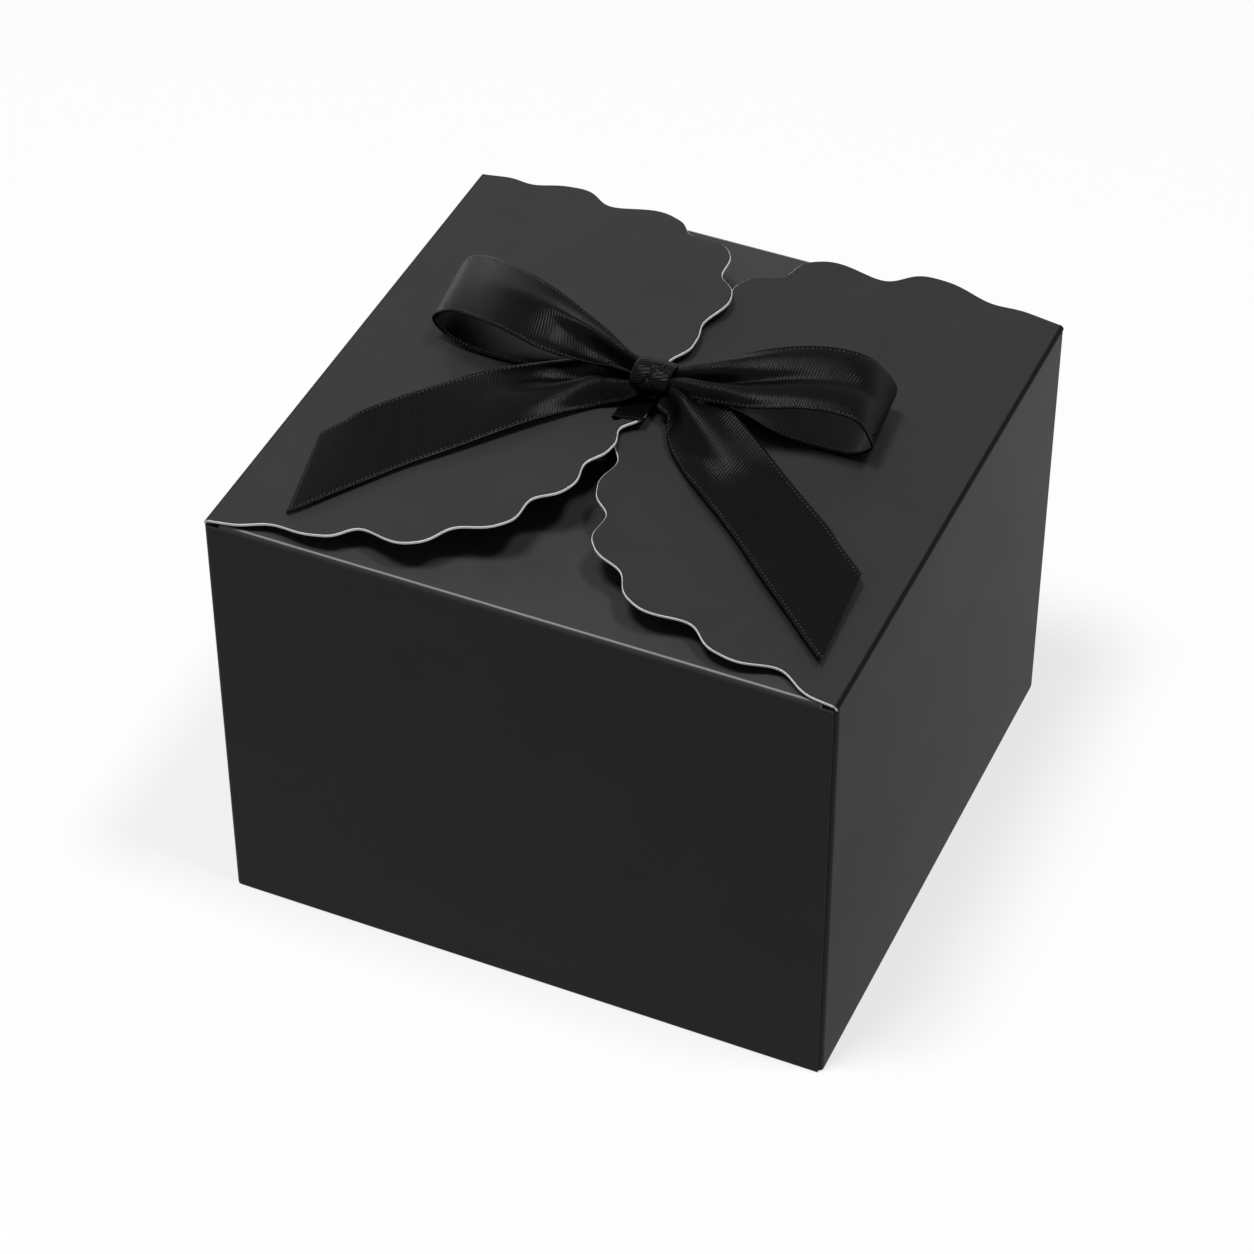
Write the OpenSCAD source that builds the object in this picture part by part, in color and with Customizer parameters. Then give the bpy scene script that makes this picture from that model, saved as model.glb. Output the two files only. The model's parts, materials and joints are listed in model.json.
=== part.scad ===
// Gift box: a folded card carton with two scalloped top flaps that a ribbon bow ties shut.
// Origin at the middle of the bottom, +Z up, front wall toward -Y. Millimetres.

/* [Carton] */
// Width of the box, left to right
box_w = 120; // [90:1:180]
// Depth of the box, front to back
box_d = 114; // [90:1:180]
// Height from the table to the top crease
box_h = 91; // [60:1:160]
// Thickness of the card
board_t = 0.45; // [0.3:0.05:0.8]
// Width of the glue tab inside the seam corner
tab_w = 14; // [8:1:20]
// Distance that each end of the glue tab tapers back
tab_taper = 5; // [2:0.5:9]

/* [Scalloped flaps] */
// Upward tilt of the closed left flap, which lies on top
left_tilt = 9.2; // [9:0.1:12]
// Upward tilt of the closed right flap
right_tilt = 8; // [5:0.1:8.1]
// How far the left flap reaches past the middle of the box
left_overlap = 3.6; // [3:0.1:4.2]
// How far the right flap reaches past the middle of the box
right_overlap = 0; // [-0.4:0.1:0.4]
// Fullness of the flap's outline: 2 is an ellipse, more is squarer
flap_fullness = 3; // [2.4:0.1:3.6]
// Depth of the scallops, from crest to valley
scallop_depth = 2.5; // [1:0.1:3]
// Space between the end of a scalloped flap and the box corner
flap_end_gap = 0.3; // [0.2:0.1:1]
// Distance from the left flap's tip to the middle of its ribbon slot
left_slot_inset = 4.8; // [4.4:0.1:6.5]
// Distance from the right flap's tip to the middle of its ribbon slot
right_slot_inset = 8.4; // [7:0.1:9.4]
// Offset of the left flap's slot from the middle, to the front
left_slot_front = 4.4; // [0:0.1:4.6]
// Width of the ribbon slot
slot_w = 2; // [1.6:0.1:2.4]

/* [Inner flaps] */
// Drop of the inner flaps below the top crease
inner_drop = 0.3; // [0.2:0.05:0.6]
// Opening left between the tips of the two inner flaps
inner_gap = 14; // [8:1:30]
// Width of an inner flap at its tip
inner_tip_w = 14; // [8:1:30]
// Distance from the box corner to the end of an inner flap's crease
inner_end_gap = 3; // [2.5:0.1:6]

/* [Bottom panels] */
// How far the tongue panel reaches past the middle
tongue_panel_reach = 4; // [2:0.5:8]
// Width of the locking tongue
tongue_w = 40; // [30:1:46]
// Length of the tongue behind its slot
tongue_len = 14; // [8:1:18]
// How far the slotted panel reaches past the middle, toward the front
slot_panel_reach = 6; // [4:0.5:10]
// Width of the locking slot, front to back
lock_slot_w = 2; // [1.5:0.1:3]
// Side play between the tongue and what it passes through
tongue_play = 0.8; // [0.4:0.1:2]
// Distance from the box corner to the end of a bottom side panel's crease
bottom_end_gap = 2; // [1:0.5:5]
// Width of a bottom side panel at its tip
side_panel_tip_w = 34; // [20:1:50]

/* [Ribbon] */
// Width of the ribbon
ribbon_w = 16; // [12:0.5:18]
// Thickness of the ribbon
ribbon_t = 0.5; // [0.3:0.05:0.6]
// Space between the ribbon's edges and the ends of a slot, both ends together
slot_play = 1.5; // [1:0.1:2]
// Depth of the ribbon's run below the ridge of the closed flaps
strap_drop = 3.1; // [3:0.1:5]
// Offset of the knot from the middle, to the right
knot_x = 3.7; // [3.2:0.1:4]
// Offset of the knot from the middle, to the front
knot_front = 4.4; // [3.6:0.1:4.8]
// Length of the knot along the bow
knot_l = 7.2; // [6:0.1:8]
// Depth of the knot, front to back
knot_d = 7.4; // [7:0.1:9]
// Height of the knot
knot_h = 6.2; // [5.8:0.1:7.4]
// Height of the knot's underside above the left flap's tip
knot_lift = 1; // [1:0.1:1.5]
// Reach of the left loop from the knot
left_loop_reach = 44; // [38:1:48]
// Reach of the right loop from the knot
right_loop_reach = 35; // [32:1:40]
// Reach of the left tail from the knot, along X
left_tail_reach = 47; // [40:1:50]
// Reach of the right tail from the knot, along X
right_tail_reach = 45.5; // [40:0.5:48]

/* [Hidden] */

CARD = [0.2, 0.2, 0.205];
CARD_INSIDE = [0.26, 0.26, 0.265];
SATIN = [0.06, 0.06, 0.065];

crease_gap = 0.25;        // air between a wall's top edge and the flap folded over it
crest_fullness = 1.5;     // 1 is a plain wave, more makes the crests broader than the valleys
outline_step = 1.5;       // degrees between the scalloped outline's points
knot_step = 10;           // degrees between the points of the knot's outline
tip_notch = 0.6;          // the two ribbon straps meet this far apart

function flap_reach(tilt, overlap) = (box_w / 2 + overlap) / cos(tilt);
function outer_wall_top() = box_h - board_t - crease_gap;
function inner_wall_top() = box_h - inner_drop - board_t - crease_gap;

// Heights of the flaps' upper faces: at the left flap's tip, then over the middle of the box
left_tip_z = box_h + (box_w / 2 + left_overlap) * tan(left_tilt);
ridge_z = box_h + box_w / 2 * (tan(left_tilt) + tan(right_tilt)) / 2;
slope = tan((left_tilt + right_tilt) / 2);

slot_l = ribbon_w + slot_play;
left_slot_x = left_overlap - left_slot_inset * cos(left_tilt);
right_slot_x = right_slot_inset * cos(right_tilt) - right_overlap;
strap_z = ridge_z - strap_drop;
knot_base_z = left_tip_z + knot_lift;
knot_left = knot_x - knot_l / 2;
knot_right = knot_x + knot_l / 2;
wrap_t = 0.8;             // build-up of the ribbon turn round the knot
core_gap = 0.05;          // between the knot's core and the turn round it
strap_clear = 0.05;       // between the left flap and the ribbon that lies on it
strap_lap = 0.8;          // how far the ribbon over the left flap runs past its tip
strap_meet = left_overlap + strap_lap;
join_gap = 0.3;           // between a loop or tail and the side of the knot
cut_past = 1;             // how far a cut runs past the faces that it opens

// ---- scalloped flap ----

// Radius of the plain squarish outline at an angle from the tip direction
function outline_radius(angle, reach, half) =
    pow(pow(abs(cos(angle)) / reach, flap_fullness)
        + pow(abs(sin(angle)) / half, flap_fullness), -1 / flap_fullness);

// Crests of the scallops from a flap's tip to a hinge corner. Each row is the crest's angle,
// its reach as a share of the plain outline, and the share of the depth in the valley after it.
LEFT_FRONT_CRESTS = [[0, 1, 1], [9, 1, 0.8], [18, 0.985, 0.8], [28.5, 1, 1.1], [40, 1.02, 1],
    [53.5, 1.03, 1.35], [68, 1, 0.6], [86, 1, 0]];
LEFT_BACK_CRESTS = [[0, 1, 1], [10.5, 1, 0.7], [22.5, 1.045, 0.9], [34.5, 1.045, 1.05],
    [48, 1, 1.45], [69.5, 0.995, 0.5], [85.5, 1, 0]];
RIGHT_FRONT_CRESTS = [[0, 1, 1], [14, 0.99, 0.9], [27.5, 0.99, 1.05], [39.5, 1.015, 0.9],
    [52, 1.02, 1.35], [68, 0.995, 1.2], [86.5, 1, 0]];
RIGHT_BACK_CRESTS = [[0, 1, 1], [9, 1, 0.9], [19, 1, 1], [32, 1.02, 1], [46, 1.03, 1.7],
    [66, 1.02, 0.65], [84.5, 1, 0]];

function crest_before(angle, crests) =
    max([for (i = [0 : len(crests) - 1]) if (crests[i][0] <= angle) i]);

function scalloped_radius(angle, reach, half, crests) =
    let (
        i = crest_before(angle, crests),
        here = crests[i],
        next = i < len(crests) - 1 ? crests[i + 1] : [90, 1, 0],
        share = (angle - here[0]) / (next[0] - here[0]),
        ease = share * share * (3 - 2 * share),
        dip = pow((1 - cos(360 * share)) / 2, crest_fullness)
    )
    outline_radius(angle, reach, half) * (here[1] + (next[1] - here[1]) * ease)
        - scallop_depth * here[2] * dip;

// low_crests shape the half at -Y of the crease's middle, high_crests the half at +Y
function scalloped_outline(reach, half, low_crests, high_crests) =
    [for (angle = [-90 : outline_step : 90])
        let (r = scalloped_radius(abs(angle), reach, half, angle < 0 ? low_crests : high_crests))
        [r * cos(angle), r * sin(angle)]];

module ribbon_slot() {
    square([slot_w, slot_l - slot_w], center = true);
    for (end = [-1, 1])
        translate([0, end * (slot_l - slot_w) / 2]) circle(d = slot_w, $fn = 32);
}

// Flap with its crease on the Y axis, reaching along +X, upper face at z = 0
module scalloped_flap(reach, low_crests, high_crests, slot_inset, slot_y) {
    translate([0, 0, -board_t])
        linear_extrude(board_t)
            difference() {
                polygon(scalloped_outline(reach, box_d / 2 - flap_end_gap, low_crests, high_crests));
                translate([reach - slot_inset, slot_y]) ribbon_slot();
            }
}

// ---- sheet that follows a path: each station is [x, y, z, turn, rise, width] ----
// turn is the plan angle from +Y to the sheet's width, rise its angle above level.

function catmull(a, b, c, d, t) =
    0.5 * (2 * b + (c - a) * t + (2 * a - 5 * b + 4 * c - d) * t * t
        + (3 * b - a - 3 * c + d) * t * t * t);

function smooth_stations(list, steps) =
    let (n = len(list))
    concat([for (i = [0 : n - 2]) for (s = [0 : steps - 1])
        catmull(i == 0 ? 2 * list[0] - list[1] : list[i - 1], list[i], list[i + 1],
            i == n - 2 ? 2 * list[n - 1] - list[n - 2] : list[i + 2], s / steps)],
        [list[n - 1]]);

function width_direction(s) = [sin(s[3]) * cos(s[4]), cos(s[3]) * cos(s[4]), sin(s[4])];
function place(s) = [s[0], s[1], s[2]];
function unit(v) = v / norm(v);

module ribbon_sheet(list, steps = 5) {
    path = smooth_stations(list, steps);
    n = len(path);
    points = [for (i = [0 : n - 1])
        let (
            along = unit(place(path[min(i + 1, n - 1)]) - place(path[max(i - 1, 0)])),
            across = width_direction(path[i]),
            up = unit(cross(along, across)) * ribbon_t / 2,
            half = across * path[i][5] / 2
        )
        each [place(path[i]) - half - up, place(path[i]) + half - up,
            place(path[i]) + half + up, place(path[i]) - half + up]];
    sides = [for (i = [0 : n - 2]) for (k = [0 : 3])
        let (a = 4 * i + k, b = 4 * i + (k + 1) % 4)
        each [[a, b, a + 4], [b, b + 4, a + 4]]];
    first_end = [[0, 2, 1], [0, 3, 2]];
    e = 4 * (n - 1);
    last_end = [[e, e + 1, e + 2], [e, e + 2, e + 3]];
    polyhedron(points = points, faces = [for (f = concat(sides, first_end, last_end)) [f[0], f[2], f[1]]]);
}

// Turns the rows of a loop or tail into stations. Rows are drawn for a ribbon of row_ribbon.
function bow_stations(list, side, reach) =
    let (start = side < 0 ? knot_left - join_gap : knot_right + join_gap,
        size = ribbon_w / row_ribbon)
    [for (s = list)
        let (x = start + side * s[0] * reach)
        [x, s[1] * size - knot_front, ridge_z - abs(x) * slope + s[2] * size,
            s[3], s[4], s[5] * ribbon_w]];

// Rows: share of the reach, y, lift above the flaps, turn, rise, share of the ribbon's width.
// They run from the knot along the lower strand, round the end and back along the upper one.
row_ribbon = 16;
LEFT_LOOP = [
    [0.00, 2.0, 2.9, 0, 0, 0.28],
    [0.31, 8.3, 1.4, 0, 1, 0.75],
    [0.58, 10.5, 1.4, -2, 2, 0.95],
    [0.83, 12.9, 1.5, -4, 1, 1.00],
    [0.96, 14.9, 2.9, -4, 1, 1.00],
    [1.00, 14.6, 6.0, -5, 2, 1.00],
    [0.95, 13.6, 8.7, -6, 4, 1.00],
    [0.86, 12.6, 10.1, -7, 5, 1.00],
    [0.65, 7.9, 11.9, -12, 10, 1.00],
    [0.42, 4.2, 11.0, -14, 12, 0.94],
    [0.22, 3.5, 8.3, -15, 4, 0.75],
    [0.00, 0.6, 5.9, 0, 0, 0.40]];
RIGHT_LOOP = [
    [0.00, 2.0, 4.0, 0, 0, 0.28],
    [0.15, 7.0, 2.3, 3, 0, 0.60],
    [0.33, 11.0, 1.1, 3, 0, 0.85],
    [0.53, 11.0, 0.9, 2, 0, 0.97],
    [0.74, 12.4, 0.6, 0, 0, 1.00],
    [0.90, 13.2, 1.5, -2, 1, 1.00],
    [0.98, 13.4, 3.7, -4, 2, 1.00],
    [1.00, 12.1, 6.9, -6, 5, 1.00],
    [0.93, 11.0, 11.4, -9, 4, 1.00],
    [0.81, 9.7, 13.0, -13, 5, 1.00],
    [0.62, 6.9, 13.2, -16, 4, 1.00],
    [0.40, 3.0, 12.0, -16, 7, 0.88],
    [0.19, 1.4, 9.5, -20, 2, 0.66],
    [0.00, 0.2, 7.0, 0, 0, 0.40]];
// The last row of a tail carries its slanted cut.
LEFT_TAIL = [
    [0.00, -2.5, 4.0, 0, 0, 0.28],
    [0.17, -2.4, 3.1, -25, 0, 0.66],
    [0.41, -9.4, 3.4, -40, 3, 0.94],
    [0.63, -18.5, 3.3, -44, 6, 1.00],
    [0.80, -26.3, 3.0, -43, 7, 1.00],
    [0.90, -32.2, 2.6, -24, 6, 1.10],
    [1.00, -38.0, 2.2, -10, 5, 1.31]];
RIGHT_TAIL = [
    [0.00, -2.5, 5.1, 0, 0, 0.28],
    [0.05, -3.2, 5.3, 12, 0, 0.60],
    [0.13, -5.6, 5.8, 20, 0, 0.86],
    [0.25, -9.1, 5.0, 30, 1, 0.95],
    [0.39, -13.1, 3.3, 37, 1, 1.00],
    [0.63, -20.7, 2.4, 38, 2, 1.00],
    [0.82, -27.5, 2.3, 14, 2, 1.12],
    [1.00, -34.3, 2.2, -3, 3, 1.38]];

// ---- walls ----

module front_wall() {
    color(CARD)
        translate([-box_w / 2, -box_d / 2, 0]) cube([box_w, board_t, inner_wall_top()]);
}

module back_wall() {
    color(CARD)
        translate([-box_w / 2, box_d / 2 - board_t, 0]) cube([box_w, board_t, inner_wall_top()]);
}

module side_wall(side) {
    color(CARD)
        translate([side < 0 ? -box_w / 2 : box_w / 2 - board_t, -box_d / 2 + board_t, 0])
            cube([board_t, box_d - 2 * board_t, outer_wall_top()]);
}

module left_wall() { side_wall(-1); }

module right_wall() { side_wall(1); }

module glue_tab() {
    foot = bottom_stack() + tongue_play;
    head = inner_wall_top() - tongue_play;
    color(CARD_INSIDE)
        translate([box_w / 2 - board_t, -box_d / 2 + 2 * board_t, 0])
            rotate([90, 0, 0])
                linear_extrude(board_t)
                    polygon([[0, foot], [0, head], [-tab_w, head - tab_taper],
                        [-tab_w, foot + tab_taper]]);
}

// ---- bottom: tongue panel outside, then the side panels, then the slotted panel ----

function bottom_stack() = 4 * board_t;

module bottom_tongue_panel() {
    front = -box_d / 2 + board_t;
    edge = tongue_panel_reach;
    side = box_w / 2 - board_t - bottom_end_gap;
    color(CARD) {
        translate([-side, front, 0]) cube([2 * side, edge - front, board_t]);
        translate([-tongue_w / 2, edge, 0]) cube([tongue_w, board_t, bottom_stack()]);
        translate([-tongue_w / 2, edge + board_t, bottom_stack() - board_t])
            cube([tongue_w, tongue_len, board_t]);
    }
}

module bottom_slot_panel() {
    back = box_d / 2 - board_t;
    side = box_w / 2 - board_t - bottom_end_gap;
    slot_half = tongue_w / 2 + tongue_play;
    color(CARD_INSIDE)
        translate([0, 0, 2 * board_t])
            linear_extrude(board_t)
                difference() {
                    polygon([[-side, back], [side, back], [tongue_w, -slot_panel_reach],
                        [-tongue_w, -slot_panel_reach]]);
                    translate([-slot_half, tongue_panel_reach + (board_t - lock_slot_w) / 2])
                        square([2 * slot_half, lock_slot_w]);
                }
}

module bottom_side_panel(side) {
    outer = box_w / 2 - board_t;
    inner = tongue_w / 2 + tongue_play;
    crease = box_d / 2 - board_t - bottom_end_gap;
    color(CARD)
        translate([0, 0, board_t])
            linear_extrude(board_t)
                polygon([[side * outer, -crease], [side * outer, crease],
                    [side * inner, side_panel_tip_w / 2], [side * inner, -side_panel_tip_w / 2]]);
}

module bottom_left_panel() { bottom_side_panel(-1); }

module bottom_right_panel() { bottom_side_panel(1); }

// ---- inner flaps, creased along the front and back walls ----

module inner_flap(side) {
    crease = box_w / 2 - inner_end_gap;
    reach = (box_d - inner_gap) / 2;
    color(CARD)
        translate([0, side * box_d / 2, box_h - inner_drop - board_t])
            linear_extrude(board_t)
                polygon([[-crease, 0], [crease, 0], [inner_tip_w / 2, -side * reach],
                    [-inner_tip_w / 2, -side * reach]]);
}

module front_flap() { inner_flap(-1); }

module back_flap() { inner_flap(1); }

// ---- outer flaps, creased along the left and right walls ----

module left_flap() {
    color(CARD)
        translate([-box_w / 2, 0, box_h])
            rotate([0, -left_tilt, 0])
                scalloped_flap(flap_reach(left_tilt, left_overlap),
                    LEFT_FRONT_CRESTS, LEFT_BACK_CRESTS, left_slot_inset, -left_slot_front);
}

module right_flap() {
    color(CARD)
        translate([box_w / 2, 0, box_h])
            rotate([0, 0, 180])
                rotate([0, -right_tilt, 0])
                    scalloped_flap(flap_reach(right_tilt, right_overlap),
                        RIGHT_BACK_CRESTS, RIGHT_FRONT_CRESTS, right_slot_inset, 0);
}

// ---- ribbon ----

// Half of the ribbon under the flaps, its leg up through one slot, and its run to under the knot.
// profile is drawn in X and Z.
module strap(slot_y, profile) {
    color(SATIN)
        translate([0, ribbon_w / 2 + slot_y, 0])
            rotate([90, 0, 0])
                linear_extrude(ribbon_w) polygon(profile);
}

// Height of the left flap's upper face
function left_face(x) = box_h + (box_w / 2 + x) * tan(left_tilt);

module ribbon_strap_left() {
    leg = left_slot_x - ribbon_t / 2;
    under = left_face(leg + ribbon_t) + strap_clear;
    over = left_face(strap_meet) + strap_clear;
    strap(-left_slot_front, [
        [leg, strap_z - ribbon_t], [-tip_notch / 2, strap_z - ribbon_t], [-tip_notch / 2, strap_z],
        [leg + ribbon_t, strap_z], [leg + ribbon_t, under], [strap_meet, over],
        [strap_meet, over + ribbon_t], [leg, under + ribbon_t]]);
}

module ribbon_strap_right() {
    leg = right_slot_x + ribbon_t / 2;
    end = strap_meet + join_gap;
    top = left_face(strap_meet) + strap_clear + ribbon_t;
    strap(0, [
        [leg, strap_z - ribbon_t], [leg, top], [end, top], [end, top - ribbon_t],
        [leg - ribbon_t, top - ribbon_t], [leg - ribbon_t, strap_z], [tip_notch / 2, strap_z],
        [tip_notch / 2, strap_z - ribbon_t]]);
}

// Rounded body of the knot, drawn smaller by an inset and longer by a run past each end
module knot_section(inset, past = 0) {
    translate([-past, 0, 0])
        rotate([90, 0, 90])
            linear_extrude(knot_l + 2 * past)
                polygon([for (angle = [0 : knot_step : 360 - knot_step])
                    [(knot_d / 2 - inset) * cos(angle), (knot_h / 2 - inset) * sin(angle)]]);
}

module at_knot() {
    translate([knot_left, -knot_front, knot_base_z + knot_h / 2]) children();
}

module knot_core() {
    color(SATIN) at_knot() knot_section(wrap_t + core_gap);
}

module knot_wrap() {
    color(SATIN)
        at_knot()
            difference() {
                knot_section(0);
                knot_section(wrap_t, cut_past);
            }
}

module left_loop() { color(SATIN) ribbon_sheet(bow_stations(LEFT_LOOP, -1, left_loop_reach)); }

module right_loop() { color(SATIN) ribbon_sheet(bow_stations(RIGHT_LOOP, 1, right_loop_reach)); }

module left_tail() { color(SATIN) ribbon_sheet(bow_stations(LEFT_TAIL, -1, left_tail_reach)); }

module right_tail() { color(SATIN) ribbon_sheet(bow_stations(RIGHT_TAIL, 1, right_tail_reach)); }

front_wall();
back_wall();
left_wall();
right_wall();
glue_tab();
bottom_tongue_panel();
bottom_slot_panel();
bottom_left_panel();
bottom_right_panel();
front_flap();
back_flap();
left_flap();
right_flap();
ribbon_strap_left();
ribbon_strap_right();
knot_core();
knot_wrap();
left_loop();
right_loop();
left_tail();
right_tail();
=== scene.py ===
"""Folded card gift box with two scalloped flaps and a tied satin ribbon bow."""

import json
import math

import bmesh
import bpy
from mathutils import Matrix, Vector


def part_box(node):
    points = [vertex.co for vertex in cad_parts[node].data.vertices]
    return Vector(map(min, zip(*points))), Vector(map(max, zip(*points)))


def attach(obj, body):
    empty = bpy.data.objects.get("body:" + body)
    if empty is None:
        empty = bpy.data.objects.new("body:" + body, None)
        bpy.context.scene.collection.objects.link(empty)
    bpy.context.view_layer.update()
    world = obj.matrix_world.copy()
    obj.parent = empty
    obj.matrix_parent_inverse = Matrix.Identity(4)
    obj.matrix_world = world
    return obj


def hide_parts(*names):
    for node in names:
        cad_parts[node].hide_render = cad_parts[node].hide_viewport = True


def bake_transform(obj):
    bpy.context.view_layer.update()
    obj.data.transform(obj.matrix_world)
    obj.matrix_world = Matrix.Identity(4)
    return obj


bl_info = {
    "name": "Scalloped gift box with a ribbon bow",
    "version": (1, 0, 0),
    "blender": (4, 5, 0),
    "location": "View3D > Sidebar > Gift Box",
    "description": "Dresses the carton in coated card and ties it with a satin ribbon",
    "category": "Object",
}

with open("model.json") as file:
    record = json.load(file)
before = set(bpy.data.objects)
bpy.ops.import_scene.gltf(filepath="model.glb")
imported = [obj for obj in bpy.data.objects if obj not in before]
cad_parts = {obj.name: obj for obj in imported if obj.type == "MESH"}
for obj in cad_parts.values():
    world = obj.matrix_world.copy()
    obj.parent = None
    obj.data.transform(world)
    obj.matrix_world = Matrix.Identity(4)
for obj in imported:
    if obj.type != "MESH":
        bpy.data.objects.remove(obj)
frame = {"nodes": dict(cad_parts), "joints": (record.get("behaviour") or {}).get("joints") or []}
MM = 0.001


# ---- places and sizes read from the frame ----

def hinge_point(name):
    """Point on the crease that the joint of this name turns about."""
    for joint in frame["joints"]:
        if joint["name"] == name:
            return Vector(joint["pos_m"])
    raise RuntimeError(f"the frame has no joint named {name}")


FRONT_LOW, FRONT_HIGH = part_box("front_wall")
HALF_W = FRONT_HIGH.x
HALF_D = -FRONT_LOW.y
CARD_T = FRONT_HIGH.y - FRONT_LOW.y
TOP_Z = hinge_point("left_flap_hinge").z
INNER_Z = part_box("front_flap")[1].z
INNER_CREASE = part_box("front_flap")[1].x
INNER_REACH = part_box("front_flap")[1].y + HALF_D
TAB_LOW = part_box("glue_tab")[0]
LEFT_TIP_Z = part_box("left_flap")[1].z
RIGHT_TIP_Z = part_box("right_flap")[1].z
KNOT_LOW, KNOT_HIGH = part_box("knot_wrap")
KNOT_MID = (KNOT_LOW + KNOT_HIGH) / 2
KNOT_HALF = (KNOT_HIGH - KNOT_LOW) / 2
UP = Vector((0, 0, 1))
STRAP_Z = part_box("ribbon_strap_left")[0].z


# ---- what a user may change ----

def colour_setting(name, description, *value):
    """Colour that a user may change."""
    return bpy.props.FloatVectorProperty(name=name, description=description, subtype="COLOR",
                                         size=3, min=0, max=1, default=value)


def length_setting(name, description, value, precision=4, **limits):
    """Length that a user may change, with its default in millimetres."""
    return bpy.props.FloatProperty(name=name, description=description, unit="LENGTH",
                                   default=value * MM, precision=precision, **limits)


def angle_setting(name, description, value):
    """Angle that a user may change, with its default in degrees."""
    return bpy.props.FloatProperty(name=name, description=description, subtype="ANGLE",
                                   default=math.radians(value))


def power_setting(name, description, value):
    """Lamp power that a user may change, in watts."""
    return bpy.props.FloatProperty(name=name, description=description, subtype="POWER",
                                   default=value, min=0)


def share_setting(name, description, value, least=0.0, most=1.0):
    """Plain number that a user may change."""
    return bpy.props.FloatProperty(name=name, description=description, default=value,
                                   min=least, max=most)


class GiftBoxCard(bpy.types.PropertyGroup):
    """Sizes and colours of the folded card."""

    coat_colour: colour_setting(
        "Coat", "Matt coating on the outside of the card", 0.0240, 0.0240, 0.0243)
    board_colour: colour_setting("Bare board", "Uncoated inside of the card", 0.62, 0.61, 0.59)
    core_colour: colour_setting("Cut edge", "Core of the board where it was cut",
                                0.76, 0.76, 0.75)
    crease_radius: length_setting("Crease radius", "Outer radius of the creases", 0.9,
                                  min=0.6 * MM, max=2 * MM)
    left_tilt: angle_setting("Left flap tilt", "Upward tilt of the closed left flap", 9.2)
    right_tilt: angle_setting("Right flap tilt", "Upward tilt of the closed right flap", 8.0)
    flap_end_gap: length_setting(
        "Flap end gap", "Space between a flap's end and the box corner", 0.3)
    fullness: share_setting("Flap fullness", "2 is an ellipse, more is squarer", 3.0, 2.0, 4.0)
    scallop_depth: length_setting(
        "Scallop depth", "Depth from a scallop's crest to the valley", 2.5)
    left_slot_inset: length_setting(
        "Left slot inset", "From the left flap's tip to its slot's middle", 4.8)
    right_slot_inset: length_setting(
        "Right slot inset", "From the right flap's tip to its slot's middle", 8.4)
    left_slot_front: length_setting(
        "Left slot offset", "Offset of the left slot toward the front", 4.4)
    slot_width: length_setting("Slot width", "Width of the ribbon slot", 2)


class GiftBoxRibbon(bpy.types.PropertyGroup):
    """Sizes and colours of the satin ribbon."""

    colour: colour_setting("Satin", "Colour of the satin", 0.0012, 0.0012, 0.0013)
    width: length_setting("Width", "Width of the flat ribbon", 16)
    thickness: length_setting("Thickness", "Thickness of the ribbon", 0.3)
    left_loop_reach: length_setting(
        "Left loop reach", "Reach of the left loop from the knot", 44)
    right_loop_reach: length_setting(
        "Right loop reach", "Reach of the right loop from the knot", 35)
    left_tail_reach: length_setting(
        "Left tail reach", "Reach of the left tail from the knot", 47)
    right_tail_reach: length_setting(
        "Right tail reach", "Reach of the right tail from the knot", 45.5)
    rib_pitch: length_setting(
        "Rib pitch", "Distance between the ribs of the weave", 0.55, 5)
    stitch_pitch: length_setting(
        "Edge stitch pitch", "Distance between the selvedge stitches", 0.8, 5)
    stitch_inset: length_setting(
        "Edge stitch inset", "From the ribbon's edge to its stitches", 0.65, 5)


class GiftBoxStage(bpy.types.PropertyGroup):
    """Floor, lamps and camera."""

    floor_colour: colour_setting("Floor", "Colour of the floor", 0.28, 0.28, 0.28)
    floor_lift: share_setting("Floor lift", "Light that the floor adds toward the camera", 0.635)
    sky_strength: share_setting("Studio light", "Strength of the even light all round", 0.12)
    key_power: power_setting("Key lamp", "Power of the large lamp overhead", 45)
    back_power: power_setting("Back lamp", "Power of the low lamp behind on the left", 1)
    sheen_power: power_setting("Sheen lamp", "Power of the small lamp above on the right", 19)
    camera_azimuth: angle_setting(
        "Camera azimuth", "Turn of the camera from the front to the right", 24.007)
    camera_elevation: angle_setting(
        "Camera elevation", "Height of the camera above the horizon", 42.009)
    camera_roll: angle_setting(
        "Camera roll", "Small turn of the camera about its own axis", 0.126)
    camera_distance: length_setting(
        "Camera distance", "From the camera to its target", 757.4, min=0.1)
    lens: bpy.props.FloatProperty(
        name="Lens", description="Focal length of the camera", subtype="DISTANCE_CAMERA",
        default=116.04, min=20, max=300)


def card_settings():
    """Settings of the card."""
    return bpy.context.scene.gift_box_card


def ribbon_settings():
    """Settings of the ribbon."""
    return bpy.context.scene.gift_box_ribbon


def stage_settings():
    """Settings of the stage."""
    return bpy.context.scene.gift_box_stage


# ---- shader groups ----

def group_with(name, inputs, outputs):
    """Empty shader group and its input and output nodes.

    inputs gives each input's default, or None for a vector. All outputs are numbers.
    """
    group = bpy.data.node_groups.new(name, "ShaderNodeTree")
    for socket, value in inputs.items():
        kind = "NodeSocketVector" if value is None else "NodeSocketFloat"
        made = group.interface.new_socket(name=socket, in_out="INPUT", socket_type=kind)
        if value is not None:
            made.default_value = value
    for socket in outputs:
        group.interface.new_socket(name=socket, in_out="OUTPUT", socket_type="NodeSocketFloat")
    return group, group.nodes.new("NodeGroupInput"), group.nodes.new("NodeGroupOutput")


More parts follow.
